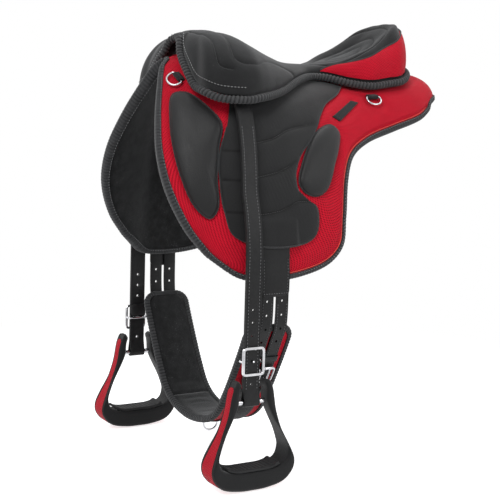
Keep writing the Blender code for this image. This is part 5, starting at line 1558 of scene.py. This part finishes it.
def dee_path(width, depth):
    """D shape with its straight bar on the axis and its bow towards +y."""
    half = width / 2
    turns = np.linspace(0, math.pi, 22)
    bow = [Vector((half * math.cos(t), depth * (0.35 + 0.65 * math.sin(t)))) for t in turns]
    bar = softened([bow[-1], Vector((-half, 0)), Vector((half, 0)), bow[0]], 3.0, closed=False)
    return bar + bow[1:-1]


def flat_section(half, thick, soft, crease):
    """Section of a flat strap: softened edges, and a pressed line along each edge of its outer face."""
    high = thick / 2
    side = [(half - soft, -high), (half - soft * 0.3, soft * 0.3 - high), (half, soft - high)]
    side += [(half, high - soft), (half - soft * 0.3, high - soft * 0.3), (half - soft, high)]
    if crease:
        side += [(half - a, high - crease * b) for a, b in ((1.9, 0), (2.3, 1), (2.8, 1), (3.2, 0))]
    ring = side + [(-a, b) for a, b in side[::-1]]
    return ring[-1:] + ring[:-1]


def strap(name, line, across, half, thick, material, closed=False, crease=0.0, soft=0.7):
    """Flat strap along a line of (point, outward direction). half is one half width or one for each point."""
    rings = []
    for i, (p, n) in enumerate(line):
        wide = half if isinstance(half, (int, float)) else half[i]
        rings.append([p + across * a + n * b for a, b in flat_section(wide, thick, soft, crease)])
    return sweep(name, rings, material, closed, 40)


def bar_frame(name, path, normal, wide, high, bevel, material):
    """Closed bar of flat section with bevelled edges, bent along a path in a plane."""
    section = [(wide - bevel, high), (wide, high - bevel), (wide, bevel - high), (wide - bevel, -high)]
    section += [(-a, b) for a, b in section[::-1]]
    rings = []
    for i, p in enumerate(path):
        run = (path[(i + 1) % len(path)] - path[i - 1]).normalized()
        side = run.cross(normal).normalized()
        rings.append([p + side * a + normal * b for a, b in section])
    return sweep(name, rings, material, True, 25)


def wire(name, path, radius, material, closed=True):
    line = [(p, Z_AXIS) for p in path]
    return roll(name, [line], material, radius, step=0.8, sides=14, closed=closed)


def surface_frame(y, q):
    """Point, rearward tangent, downward tangent and normal."""
    normal = skin_normal(y, q)
    _, down = skin_tangents(y, q)
    down = (down - normal * down.dot(normal)).normalized()
    return skin_point(y, q), normal.cross(down).normalized(), down, normal


RING_WIRE = 3.6
tab_thread = thread_dye("tab_thread", grey(0.06, 0.062))
for place, y, z, bar_angle, width, depth in (
    ("front", -269, 4, math.radians(75), 27, 19),
    ("rear", 103, -18, 0.0, 28, 18),
):
    point, rearward, down, normal = surface_frame(y, turn_at(y, z))
    bar = (rearward * math.cos(bar_angle) + down * math.sin(bar_angle)).normalized()
    bow = normal.cross(bar).normalized()
    if bow.dot(down * math.cos(bar_angle) - rearward * math.sin(bar_angle)) < 0:
        bow.negate()
    centre = point + normal * (BED + 4.2)
    path = [centre + bar * p.x + bow * p.y for p in dee_path(width, depth)]
    ring = wire(place + "_dee_left", path, RING_WIRE / 2, steel)
    both_sides(ring, place + "_ring_side", place + "_ring_side")
    fold = [(-8.2, 0.95), (-3, 0.95), (0, 1.0)]
    fold += [(3.2 * math.sin(t), 4.2 - 3.2 * math.cos(t)) for t in np.linspace(0.3, 2.9, 12)]
    fold += [(-1.5, 7.2), (-4.2, 4.4), (-6.2, 2.9), (-8.2, 2.6)]
    middle = [point + bow * a + normal * (BED + b) for a, b in fold]
    line = [(p, running(middle, i).cross(bar).normalized()) for i, p in enumerate(middle)]
    half = width / 2 - RING_WIRE / 2 - 2.2
    tab = strap("%s_ring_loop_left" % place, line, bar, half, 1.7, webbing, soft=0.4)
    both_sides(tab, "saddle", place + "_ring_tab_side")
    foot, lift = point + bow * -5.8, normal * (BED + 4.0)
    row = [(foot + bar * (half * share) + lift, normal) for share in np.linspace(-0.85, 0.85, 8)]
    each_side(sew, place + "_tab_stitches", [row], "saddle", tab_thread, 1.9, 1.4, 0.5)

# Stirrup leathers: one strap each, folded double round the hanger under the seat and round the bolt below.
# Creased and stitched along its edges, punched through both layers, and closed by a buckle with a peg.
LEATHER_X, LEATHER_WIDTH, LEATHER_THICK, STRAP_GAP = 217.0, 29.5, 6.4, 1.9
HANGER_Z, HANGER_BAR = -16.0, 2.6
BOLT_Z, BOLT_RADIUS = -524.0, 4.5
HOLE_ZS = (-370.0, -391.0, -412.0, -494.0)
HOLE_SIDES, HOLE_RADIUS, TURNED_SIDES = 18, 2.7, 32
CREASE, SEAM_INSET = 0.35, 4.4
PEG_Z = -455.0
BUCKLE_WIDTH, BUCKLE_HEIGHT, BUCKLE_WIRE = 38.0, 44.0, 3.1
LAYER = 3.0


def leather_path():
    """Middle of the doubled strap in its own plane, from the hanger to the bolt, as x and z."""
    found = []
    for z in (-40, -54, -70, -90, -115, -145, -180):
        beside = []
        for side in (-0.5, 0, 0.5):
            y = LEATHER_Y + leather_shift(z) + side * LEATHER_WIDTH
            lift = BED + FENDER_BASE + STRAP_VALLEY + STRAP_GAP + LEATHER_THICK / 2
            q = turn_at(y, z)
            beside.append(skin_point(y, q).x + lift / max(skin_normal(y, q).x, 0.3))
        found.append((max(beside), z))
    last = found[-1][0]
    for share in (0.2, 0.4, 0.6, 0.8, 1.0):
        found.append((last + (LEATHER_X - last) * (1 - (1 - share) ** 2.2), -180 - 120 * share))
    return found


def grained(name, colour, worn_colour, roughness):
    """Strap leather: pebbled grain, darker and paler clouds, and edges that have rubbed pale."""
    material, tree, shader, spot = new_material(name, roughness, Specular_IOR_Level=0.2)
    hide = use_group(tree, grain, spot["Object"])
    rubbed_dye(tree, shader, spot, colour, worn_colour, 0.6, hide["Tone"])
    vary_roughness(tree, shader, hide["Height"], 0.3, 0.8, roughness - 0.08, roughness + 0.12)
    add_bump(tree, shader, hide["Height"], 0.0005, 0.6)
    return material


def circle(centre, axis, radius, sides):
    """Ring of points round an axis."""
    side = axis.orthogonal().normalized()
    up = axis.cross(side)
    turns = [2 * math.pi * k / sides for k in range(sides)]
    return [centre + (side * math.cos(t) + up * math.sin(t)) * radius for t in turns]


def punched(obj, centres, axis, radius, depth=40.0):
    """Cuts round holes through a piece."""
    points, faces = [], []
    for centre in centres:
        first = len(points)
        for end in (-depth / 2, depth / 2):
            points += circle(centre + axis * end, axis, radius, HOLE_SIDES)
        faces += band_faces(first, first + HOLE_SIDES, HOLE_SIDES)
        near_end, far_end = range(first, first + HOLE_SIDES), range(first + HOLE_SIDES, len(points))
        faces += [tuple(reversed(near_end)), tuple(far_end)]
    cutter = piece("punch", points, faces, obj.data.materials[0])
    cut = obj.modifiers.new("holes", "BOOLEAN")
    cut.operation, cut.solver, cut.object = "DIFFERENCE", "EXACT", cutter
    mesh = finished(obj)
    obj.modifiers.clear()
    bpy.data.objects.remove(cutter)
    obj.data = mesh
    mesh.set_sharp_from_angle(angle=math.radians(40))


strap_leather = grained("black_strap_leather", grey(0.0125, 0.013), grey(0.055), 0.48)
hanger_x = body(LEATHER_TOP_Y, turn_at(LEATHER_TOP_Y, HANGER_Z - 7), 13.4).x
low_end = (LEATHER_X, BOLT_Z + BOLT_RADIUS + LAYER + 16)
middle_line = Route([(x, z, 0) for x, z in leather_path() + [low_end]]).even(150)
apart = LAYER / 2 + 0.15
down_side, up_side = [], []
for i, p in enumerate(middle_line):
    run = running(middle_line, i)
    side = Vector((-run.y, 0, run.x)) * math.copysign(1, -run.y)
    point = Vector((p.x, LEATHER_Y + leather_shift(p.y), p.y))
    down_side.append((point + side * apart, side))
    up_side.append((point - side * apart, -side))


def round_bar(centre, radius, start, end):
    """Line of a strap's layer round a bar, from one angle to another."""
    turns = np.linspace(math.radians(start), math.radians(end), 20)
    outs = [Vector((math.cos(t), 0, math.sin(t))) for t in turns]
    return [(centre + out * (radius + 0.5 + LAYER / 2), out) for out in outs]


loop = down_side + round_bar(Vector((LEATHER_X, LEATHER_Y, BOLT_Z)), BOLT_RADIUS, 12, -192) + up_side[::-1]
hanger = Vector((hanger_x, LEATHER_Y + leather_shift(HANGER_Z), HANGER_Z))
loop += round_bar(hanger, HANGER_BAR, 222, 14)
leather = strap("folded_leather_left", loop, Y_AXIS, LEATHER_WIDTH / 2, LAYER, strap_leather, closed=True,
                crease=CREASE)
holes = [Vector((LEATHER_X, LEATHER_Y, z)) for z in HOLE_ZS + (PEG_Z,)]
punched(leather, holes, X_AXIS, HOLE_RADIUS)
both_sides(leather, "leather_side", "stirrup_leather_side")
leather_thread = thread_dye("leather_thread", grey(0.16, 0.165))
rows = []
for side in (-1, 1):
    aside = Y_AXIS * (side * (LEATHER_WIDTH / 2 - SEAM_INSET))
    rows.append([(p + n * (LAYER / 2 + 0.1) + aside, n) for p, n in down_side[12:]])
each_side(sew, "leather_stitches", rows, "leather_side", leather_thread, 5.4, 3.4, 1.1)


def turned(name, profile, centre, axis, material):
    """Piece turned on an axis through a profile of (place along it, radius)."""
    rings = [circle(centre + axis * at, axis, max(radius, 0.01), TURNED_SIDES) for at, radius in profile]
    return sweep(name, rings, material, False, 35)


frame_x = LEATHER_X + LEATHER_THICK / 2 + BUCKLE_WIRE + 0.5
cross_x = LEATHER_X - LEATHER_THICK / 2 - 2.7
corners = [(BUCKLE_WIDTH / 2, BUCKLE_HEIGHT / 2), (-BUCKLE_WIDTH / 2, BUCKLE_HEIGHT / 2)]
corners += [(-a, -b) for a, b in corners]
path = softened([Vector((frame_x, LEATHER_Y + a, PEG_Z + b)) for a, b in corners], 6.0, 8)
buckle = bar_frame("leather_buckle_frame_left", path, X_AXIS, 2.3, 2.1, 0.8, steel)
half = BUCKLE_WIDTH / 2
bent = [(frame_x, -half), (cross_x, -half), (cross_x, half), (frame_x, half)]
bent = softened([Vector((x, LEATHER_Y + y, PEG_Z)) for x, y in bent], 3.0, closed=False)
cross_bar = wire("leather_buckle_bar_left", bent, 2.2, steel, closed=False)
peg = turned("leather_buckle_peg_left", (
    (cross_x - 0.4, 0), (cross_x, 1.8), (frame_x + 0.2, 2.0), (frame_x + 1.6, 1.9), (frame_x + 2.3, 1.2),
    (frame_x + 2.5, 0),
), Vector((0, LEATHER_Y, PEG_Z)), X_AXIS, steel)
for made in (buckle, cross_bar, peg):
    both_sides(made, "leather_side", "leather_buckle_side")
tab_x = LEATHER_X - LEATHER_THICK / 2 - 1.9
tab_zs = np.linspace(-11, 11, 12)
tab_line = [(Vector((tab_x, LEATHER_Y, PEG_Z + 15.5 + z)), X_AXIS) for z in tab_zs]
tab_halves = [14.25 - max(abs(z) - 8.5, 0) for z in tab_zs]
leather_end = strap("leather_end_left", tab_line, Y_AXIS, tab_halves, 2.6, strap_leather)
both_sides(leather_end, "leather_side", "leather_tab_side")

# Stirrups: moulded cores in padded black cloth with a strip of the red mesh sewn round the outer face.
# A ribbed rubber pad takes the foot, and a polished bolt carries the stirrup on its leather.
STIRRUP_OUTER = (
    (40, 30), (21, 38), (-19, 46), (-53, 58), (-81, 71), (-104, 79), (-121, 75), (-137, 58), (-144, 27),
    (-145, 0),
)
STIRRUP_INNER = (
    (34, 22), (21, 26), (-2, 28), (-30, 41), (-50, 53), (-70, 63), (-84, 67), (-101, 62), (-111, 45),
    (-114, 24), (-115, 0),
)
ARM_DEPTH, TREAD_DEPTH, TREAD_Z = 28.0, 46.0, -112.5
STIRRUP_STEPS, STIRRUP_LENGTH, ARM_SOFT, END_ROUND = 150, 520, 6.0, 7.0
STRIP_START, STRIP_ROUND = 13, 9.0
outer, inner = (
    Route([(-w, h, 0) for h, w in half] + [(w, h, 0) for h, w in half[-2::-1]]).even(STIRRUP_STEPS)
    for half in (STIRRUP_OUTER, STIRRUP_INNER)
)
bolt = Vector((LEATHER_X, LEATHER_Y, BOLT_Z))


def stirrup_point(p, depth):
    return bolt + Vector((depth, p.x, p.y))


def arm_half(height):
    """Half depth of the stirrup, which widens towards its tread."""
    return (ARM_DEPTH + (TREAD_DEPTH - ARM_DEPTH) * (1 - smoothstep(-110, -40, height))) / 2


def roll_corner(middle_u, middle_d, radius, start):
    """Rounded corner as places across the arm and along its depth, a quarter turn from a start angle."""
    angles = [math.radians(start + 15 * k) for k in range(7)]
    return [(middle_u + radius * math.cos(t), middle_d + radius * math.sin(t)) for t in angles]


frame_rings, strip_top, strip_under = [], [], []
seams = [[], []]
for i, (out_point, in_point) in enumerate(zip(outer, inner)):
    share = i / (STIRRUP_STEPS - 1)
    across = (in_point - out_point).normalized()
    thick = (in_point - out_point).length
    half = arm_half(out_point.y)
    soft = min(ARM_SOFT, thick * 0.44)
    to_end = min(share, 1 - share) * STIRRUP_LENGTH
    full = math.sqrt(max(1 - (1 - min(to_end / END_ROUND, 1)) ** 2, 0.04))
    section = roll_corner(soft - 0.4, soft - half, soft, 180)
    section += roll_corner(thick - soft, soft - half, soft, 270)
    section += [(thick + 0.5, -half * 0.3), (thick + 0.5, half * 0.3)]
    section += roll_corner(thick - soft, half - soft, soft, 0)
    section += roll_corner(soft - 0.4, half - soft, soft, 90)
    section += [(0.6, (half - soft) * k) for k in (0.92, 0.45, -0.45, -0.92)]
    middle = out_point + across * (thick / 2)
    ring = []
    for u, d in section:
        p = middle + across * ((u - thick / 2) * full)
        ring.append(stirrup_point(p, d * (0.35 + 0.65 * full)))
    frame_rings.append(ring)
    along_strip = min(max(to_end - STRIP_START, 0) / STRIP_ROUND, 1)
    width = (half - soft + 0.6) * math.sqrt(1 - (1 - along_strip) ** 2)
    if to_end > STRIP_START + 0.2:
        spread = np.linspace(-1, 1, 9)
        arched = [(k, out_point + across * (0.2 - 0.9 * (1 - k**4))) for k in spread]
        strip_top.append([stirrup_point(p, k * width) for k, p in arched])
        strip_under.append([stirrup_point(out_point + across * 1.1, k * width) for k in spread])
        face = stirrup_point(across * -1, 0) - bolt
        for line, side in zip(seams, (-1, 1)):
            line.append((stirrup_point(out_point + across * 0.15, side * (width + 0.5)), face))
cover_cloth = satin("black_stirrup_cloth", grey(0.0105, 0.011), 0.58, 1100.0, 0.0003, 0.2)
both_sides(sweep("padded_stirrup_left", frame_rings, cover_cloth), "stirrup_side", "stirrup_frame_side")
both_sides(slab("mesh_strip_left", strip_top, strip_under, red_mesh), "stirrup_side", "stirrup_cover_side")
welt = roll("stirrup_welts_left", seams, cover_cloth, 0.8, step=2.5, sides=8)
both_sides(welt, "stirrup_side")
inner_seam = []
for out_point, in_point in list(zip(outer, inner))[4:-4]:
    across = (in_point - out_point).normalized()
    inner_seam.append((stirrup_point(in_point - across * 3.4, arm_half(out_point.y) - 1.3), X_AXIS))
each_side(sew, "stirrup_stitches", [inner_seam], "stirrup_side", leather_thread, 4.2, 2.8, 0.8)

BOLT_END = ((19.6, 4.2), (20, 4.5), (32, 4.5), (32.5, 4.2), (32.6, 0))
bolt_profile = [(-a, radius) for a, radius in BOLT_END[::-1]] + list(BOLT_END)
chrome_bolt = turned("stirrup_bolt_left_visual", bolt_profile, bolt, Y_AXIS, steel)
both_sides(chrome_bolt, "stirrup_side", "stirrup_bolt_side")

tread_rubber = moulded("tread_rubber", grey(0.017, 0.018), grey(0.045), 0.66)
TREAD_ROWS, TREAD_COLUMNS = 101, 25
TREAD_LONG, TREAD_WIDE, TREAD_RIB = 50, 20, 3.6
top, under = [], []
for y in np.linspace(-TREAD_LONG, TREAD_LONG, TREAD_ROWS):
    low = TREAD_Z + 13 * (max(abs(y) - 20, 0) / 42) ** 2.2
    top.append([])
    under.append([])
    for x in np.linspace(-TREAD_WIDE, TREAD_WIDE, TREAD_COLUMNS):
        across, along = abs(x) / TREAD_WIDE, abs(y) / TREAD_LONG
        edge = (1 - smoothstep(0.9, 1.0, across)) * (1 - smoothstep(0.955, 1.0, along))
        rib = 0.5 + 0.5 * math.cos(math.pi * y / TREAD_RIB)
        inside = (1 - smoothstep(0.76, 0.84, across)) * (1 - smoothstep(0.82, 0.88, along))
        raised_end = 1.1 * smoothstep(0.84, 0.9, along)
        crown = 0.7 + (2.6 - 0.9 * inside * (1 - rib) + raised_end) * edge
        top[-1].append(bolt + Vector((x, y, low + crown)))
        under[-1].append(bolt + Vector((x, y, low - 0.5)))
both_sides(slab("ribbed_tread_left", top, under, tread_rubber), "stirrup_side", "stirrup_tread_side")

# Billets: two punched tails of strap leather on each side under a wide stitched piece, held by a keeper.
# The girth's buckles close on the tails.
GIRTH_Y, GIRTH_WIDTH, GIRTH_CORNER = -160.0, 92.0, 24.0
GIRTH_PATH = ((196, -405), (180, -440), (153, -490), (125, -537), (98, -573), (62, -594), (0, -604))
BILLET_WIDTH, BILLET_GAP, BILLET_THICK = 24.5, 5.0, 3.2
BILLET_TOP_Z, BILLET_PIVOT_Z, BILLET_SPLIT_Z = -243.0, -256.0, -348.0
BILLET_HOLE_ZS = (-360.0, -384.0, -408.0, -432.0)
BILLET_LIFT, BILLET_END = 5.9, 128.0
KEEPER_AT, KEEPER_WIDTH, KEEPER_HALVES = 63.0, 11.0, (28.6, 2.9)
half_path = [Vector((x, z, 0)) for x, z in GIRTH_PATH]
girth_route = Route(half_path + [Vector((-p.x, p.y, 0)) for p in half_path[-2::-1]])
girth_length = girth_route.at_length[-1]


def on_girth(place, lift=0.0, across=0.0):
    """Point at a height over the girth's inner face, so far from its end, and the direction outward."""
    p = girth_route(place / girth_length)
    ahead = girth_route(min(place / girth_length + 0.004, 1))
    run = (ahead - girth_route(max(place / girth_length - 0.004, 0))).normalized()
    outward = Vector((run.y, 0, -run.x))
    if outward.z > 0.2 or outward.dot(Vector((p.x, 0, p.y + 300))) < 0:
        outward.negate()
    return Vector((p.x, GIRTH_Y + across, p.y)) + outward * lift, outward


points = []
for z in (BILLET_TOP_Z, BILLET_PIVOT_Z, -275, -295):
    points.append((body(BILLET_Y, turn_at(BILLET_Y, z), BED + 2.2).x, z, 0))
points += [(206.0, -318, 0), (205.8, -345, 0), (205.0, -385, 0)]
for place in (1, 22, 56, 92, BILLET_END):
    point, _ = on_girth(place, BILLET_LIFT + (0.8 if place == 1 else 0))
    points.append((point.x, point.z, 0))


def hanging(lift, start, end, across, count=110):
    """Line of (point, outward direction) down the billets, between two shares of their length."""
    found = []
    for share in np.linspace(start, end, count):
        p, ahead, behind = (billet_route(min(max(share + step, 0), 1)) for step in (0, 0.005, -0.005))
        out = Vector((behind.y - ahead.y, 0, ahead.x - behind.x)).normalized()
        found.append((Vector((p.x, BILLET_Y + across, p.y)) + out * lift, out))
    return found


billet_route = Route(points)
tail_ends = {-1: 0.985, 1: 1.0}
BILLET_SEAM_INSET, BILLET_HOLE_RADIUS = 3.6, 2.2
billet_rows = []
for side, place in ((-1, "front"), (1, "rear")):
    offset = side * (BILLET_GAP + BILLET_WIDTH) / 2
    line = hanging(0.0, 0.0, tail_ends[side], offset)
    halves = []
    for k in range(len(line)):
        near_end = max(1 - (len(line) - 1 - k) / 7, 0)
        halves.append(BILLET_WIDTH / 2 * (1 - 0.55 * near_end**1.6))
    tail = strap("billet_%s_left" % place, line, Y_AXIS, halves, BILLET_THICK, strap_leather, crease=CREASE)
    holes = [Vector((200, BILLET_Y + offset, z)) for z in BILLET_HOLE_ZS]
    punched(tail, holes, X_AXIS, BILLET_HOLE_RADIUS, 60)
    both_sides(tail, "girth", "billets_side")
    for edge in (-1, 1):
        aside = Y_AXIS * (edge * (BILLET_WIDTH / 2 - BILLET_SEAM_INSET))
        billet_rows.append([(p + n * 1.65 + aside, n) for p, n in line[46:-8]])
split_share = next(s for s in np.linspace(0, 1, 400) if billet_route(s).y < BILLET_SPLIT_Z - 4)
line = hanging(BILLET_THICK / 2 + 0.55, 0.0, split_share, 0.0, 60)
halves = [27.0 * (1 - 0.22 * max(1 - (59 - k) / 5, 0) ** 2) for k in range(60)]
billet_top = strap("billet_top_left", line, Y_AXIS, halves, 1.1, strap_leather, crease=0.2, soft=0.4)
both_sides(billet_top, "girth", "billets_side")
for edge in (-1, 1):
    row = []
    for (p, n), half in list(zip(line, halves))[26:-3]:
        row.append((p + n * 0.65 + Y_AXIS * (edge * (half - BILLET_SEAM_INSET)), n))
    billet_rows.append(row)
last, out = line[-4]
billet_rows.append([(last + out * 0.65 + Y_AXIS * s, out) for s in np.linspace(-22, 22, 12)])
each_side(sew, "billet_stitches", billet_rows, "girth", leather_thread, 4.8, 3.2, 0.85)

middle, out = on_girth(KEEPER_AT, BILLET_LIFT)
down = Y_AXIS.cross(out)
wide, high = KEEPER_HALVES
corners = softened([Vector((wide * a, high * b, 0)) for a, b in ((1, 1), (-1, 1), (-1, -1), (1, -1))], 3.0)
keeper_line = []
for i, p in enumerate(corners):
    run = corners[(i + 1) % len(corners)] - corners[i - 1]
    around = Vector((run.y, -run.x, 0)).normalized()
    if around.dot(p) < 0:
        around.negate()
    keeper_line.append((middle + Y_AXIS * p.x + out * p.y, Y_AXIS * around.x + out * around.y))
keeper = strap("billet_keeper_left", keeper_line, down, KEEPER_WIDTH / 2, 1.6, strap_leather, closed=True,
               soft=0.5)
both_sides(keeper, "girth", "billets_side")

# Girth: a brushed suede cushion inside, the red mesh outside, and a black strap along the middle of that.
# One folded braid closes the edge. A padded seam crosses the cushion on each side of its lowest part.
PAD_INSET = 8.0


def girth_half(place, inset):
    """Half width at a distance from the girth's end, rounded at its corners."""
    radius, half = GIRTH_CORNER - inset, GIRTH_WIDTH / 2 - inset
    end = min(place, girth_length - place) - inset
    if end >= radius:
        return half
    return half - radius + math.sqrt(max(radius**2 - (radius - end) ** 2, 0.0))


def girth_layer(low, high, inset, stations, columns, shape=None):
    """Grids of one layer of the girth, closer together where its ends round off."""
    ends = [inset + (GIRTH_CORNER + 2) * (1 - math.cos(math.pi / 2 * k / 8)) for k in range(8)]
    inner_first = ends[-1] + 4
    places = ends + list(np.linspace(inner_first, girth_length - inner_first, stations))
    places += [girth_length - place for place in reversed(ends)]
    top, under = [], []
    for place in places:
        half = girth_half(place, inset)
        top.append([])
        under.append([])
        for j in np.linspace(-1, 1, columns):
            deep = shape(place, j) if shape else 0.0
            top[-1].append(on_girth(place, high, half * j)[0])
            under[-1].append(on_girth(place, low + deep, half * j)[0])
    return top, under


SEAM_AT = 84.0


def cushion_shape(place, j):
    """Height of the cushion's face over its lowest level: sunk at its edge and at the two cross seams."""
    from_seam = abs(abs(place - girth_length / 2) - SEAM_AT)
    edge = smoothstep(0.8, 1.0, abs(j))
    return 2.6 * math.exp(-((from_seam / 2.6) ** 2)) + 1.6 * edge


girth_suede = brushed("girth_suede", grey(0.012, 0.0125), 1.0, size=70.0, lint=0.06)
cushion = slab("girth_cushion", *girth_layer(-6.4, 0.0, PAD_INSET, 190, 25, shape=cushion_shape), girth_suede)
held = []
for p in np.array([v.co for v in cushion.data.vertices]) * 1000:
    middle_share = abs(p[1] - GIRTH_Y) / (GIRTH_WIDTH / 2 - PAD_INSET)
    held.append(1.0 if middle_share > 0.86 or p[2] > -412 else 0.0)
swell(cushion, held, 1.2, 1.5, 12)
settle(cushion, "girth", "girth_pad", fill=0.7)
settle(slab("girth_mesh_cover", *girth_layer(0.5, 2.6, PAD_INSET, 120, 13), red_mesh), "girth", "girth_cover")

CENTRE_STRAP_START, CENTRE_STRAP_HALF = 134.0, 24.0
CHAPE_HALF, TONGUE_GAP, FOLD = 7.0, 2.6, 3.3
strap_places = np.linspace(CENTRE_STRAP_START, girth_length - CENTRE_STRAP_START, 120)
strap_line = [on_girth(place, 4.3) for place in strap_places]
centre_strap = strap("girth_centre_strap", strap_line, Y_AXIS, CENTRE_STRAP_HALF, 2.2, webbing, soft=0.5)
settle(centre_strap, "girth", "girth_strap")
seam_at = CENTRE_STRAP_HALF - 2.5
rows = [[(p + n * 1.2 + Y_AXIS * a, n) for p, n in strap_line] for a in (-seam_at, seam_at)]
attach(sew("girth_strap_stitches", rows, leather_thread, 4.2, 3.0, 0.6), "girth")

BINDING_SECTION = (
    (-6.6, 4.2), (-3.0, 4.0), (0.2, 3.1), (1.5, 0.8), (1.7, -1.8), (1.2, -4.8), (-0.6, -6.9), (-3.6, -7.7),
    (-6.6, -7.9),
)
binding_section = Route([(a, b, 0) for a, b in BINDING_SECTION]).even(13)
loop = []
radius, half = GIRTH_CORNER, GIRTH_WIDTH / 2
for place, y, start in ((girth_length - radius, half - radius, 0), (girth_length - radius, radius - half, 90),
                        (radius, radius - half, 180), (radius, half - radius, 270)):
    for k in range(24):
        t = math.radians(start + 90 * k / 23)
        loop.append((place + radius * math.sin(t), y + radius * math.cos(t), math.sin(t), math.cos(t)))
    if start in (90, 270):
        side = math.copysign(1, y)
        for k in range(1, 560):
            loop.append((place + (girth_length - 2 * place) * k / 560, side * half, 0.0, side))
rings, rib_heights, run = [], [], 0.0
previous = None
for s, y, a, b in loop:
    point, outward = on_girth(s, 0.0, y)
    along = (on_girth(min(s + 2, girth_length))[0] - on_girth(max(s - 2, 0))[0]).normalized()
    side = along * a + Y_AXIS * b
    run += (point - previous).length if previous else 0.0
    previous = point
    rib = abs(math.sin(math.pi * run / RIB_PITCH)) ** 0.7
    ring = []
    for p in binding_section:
        away = Vector((p.x + 5, p.y + 1.8, 0)).normalized() * (1.0 * (rib - 0.5))
        ring.append(point + side * (p.x + away.x) + outward * (p.y + away.y))
    ring += [point + side * -6.6 + outward * -6.3, point + side * -6.6 + outward * 2.7]
    rings.append(ring)
    rib_heights.append(rib)
girth_braid = sweep("braided_girth_binding", rings, edge_braid, closed=True)
# The attribute rib places the braid's painted highlight on the crests and painted shade between them.
near_ring = points_tree([p for ring in rings for p in ring])
ribs = [rib_heights[near_ring.find(v.co)[1] // len(rings[0])] for v in girth_braid.data.vertices]
paint_attribute(girth_braid, "rib", ribs)
settle(girth_braid, "girth", "girth_binding")

# Girth buckles and ring: bent wire frames with rollers, held by stitched chapes on the strap.
# The ring hangs in a fold of the strap under the middle of the girth.
BUCKLE_AT, BUCKLE_LIFT, GIRTH_BUCKLE_HEIGHT, GIRTH_WIRE = 95.0, 12.1, 30.0, 1.9
CHAPE_LINE = ((112, 7.9), (122, 7.9), (133, 7.6), (145, 5.2), (160, 5.2))
buckle_middle, out = on_girth(BUCKLE_AT, BUCKLE_LIFT)
down = Y_AXIS.cross(out)
if down.z > 0:
    down.negate()
half_height = GIRTH_BUCKLE_HEIGHT / 2
TONGUE_BEND = ((2.9, -1.4), (3.9, 1.5), (4.1, 8), (4.3, 22), (3.9, 29.5))
ROLLER_END = ((7.1, 2.9), (7.7, 2.8), (8.1, 2.5), (8.2, 2.1))
roller_profile = [(-a, radius) for a, radius in ROLLER_END[::-1]] + list(ROLLER_END)
chape_rows = []
for place, sign in (("front", -1), ("rear", 1)):
    offset = sign * (BILLET_GAP + BILLET_WIDTH) / 2
    centre = buckle_middle + Y_AXIS * offset
    corners = [(a * BILLET_WIDTH / 2, b * half_height) for a, b in ((1, 1), (-1, 1), (-1, -1), (1, -1))]
    path = softened([centre + Y_AXIS * a + down * b for a, b in corners], 6.0, 8)
    frame_piece = wire("girth_buckle_%s_left_visual" % place, path, GIRTH_WIRE, steel)
    both_sides(frame_piece, "girth", "girth_buckle_%s_side" % place)
    top = centre - down * half_height
    roller = turned("girth_roller_%s_left" % place, roller_profile, top, Y_AXIS, steel)
    both_sides(roller, "girth", "girth_buckle_%s_side" % place)
    hinge = centre + down * half_height
    bend = [hinge + out * a - down * b for a, b in TONGUE_BEND]
    tongue = wire("tongue_%s_left_visual" % place, Route(bend).even(16), 1.6, steel, closed=False)
    both_sides(tongue, "tongue_%s_side" % place, "girth_tongue_%s_side" % place)

    middle_points = [on_girth(at, lift + 1.0)[0] + Y_AXIS * offset for at, lift in CHAPE_LINE[::-1]]
    for t in np.linspace(math.radians(-20), math.radians(200), 14):
        middle_points.append(hinge + out * (FOLD * math.cos(t)) - down * (FOLD * math.sin(t)))
    smooth = Route(middle_points).even(60)
    fold_line = [(p, Y_AXIS.cross(running(smooth, i)).normalized()) for i, p in enumerate(smooth)]
    base_places = np.linspace(130, 166, 24)
    base = [on_girth(at, 7.0 - smoothstep(132, 146, at) * 1.6) for at in base_places]
    base_line = [(p + Y_AXIS * offset, n) for p, n in base]
    halves = [CHAPE_HALF * (1 - 0.5 * smoothstep(158, 166, at)) for at in base_places]
    for edge, part in ((-1, "front"), (1, "rear")):
        aside = Y_AXIS * (edge * (CHAPE_HALF + TONGUE_GAP) / 2)
        line = [(p + aside, n) for p, n in fold_line]
        narrow = (CHAPE_HALF - TONGUE_GAP) / 2
        chape = strap("chape_%s_%s_left" % (place, part), line, Y_AXIS, narrow, 1.8, strap_leather, soft=0.5)
        both_sides(chape, "girth", "girth_strap")
        seam_aside = Y_AXIS * (edge * (CHAPE_HALF - 2.0))
        chape_rows.append([(p + n * 1.1 + seam_aside, n) for p, n in base_line[8:-3]])
    root = strap("chape_root_%s_left" % place, base_line, Y_AXIS, halves, 2.0, strap_leather, soft=0.6)
    both_sides(root, "girth", "girth_strap")
each_side(sew, "chape_stitches", chape_rows, "girth", leather_thread, 3.2, 2.3, 0.6)

bottom = Vector((0, GIRTH_Y, GIRTH_PATH[-1][1] - 9.0))
ring_path = [bottom + Y_AXIS * p.x - Z_AXIS * p.y for p in dee_path(28, 20)]
girth_ring = wire("girth_dee_ring", ring_path, GIRTH_WIRE, steel)
settle(girth_ring, "girth_ring", "girth_ring")
RING_TAB = ((0, -3.8), (3.3, -2.9), (4.6, -1.2), (6.5, 1.8), (12, 3.2))
tab_path = [(-a, b) for a, b in RING_TAB[:0:-1]] + list(RING_TAB)
tab_path = Route([bottom + Vector((a, 0, b)) for a, b in tab_path]).even(40)
tab_line = [(p, Y_AXIS.cross(running(tab_path, i)).normalized()) for i, p in enumerate(tab_path)]
ring_tab = strap("girth_ring_loop", tab_line, Y_AXIS, 9.5, 1.6, webbing, soft=0.4)
settle(ring_tab, "girth", "girth_strap")


def plain(box):
    return [[float(c) for c in corner] for corner in box]
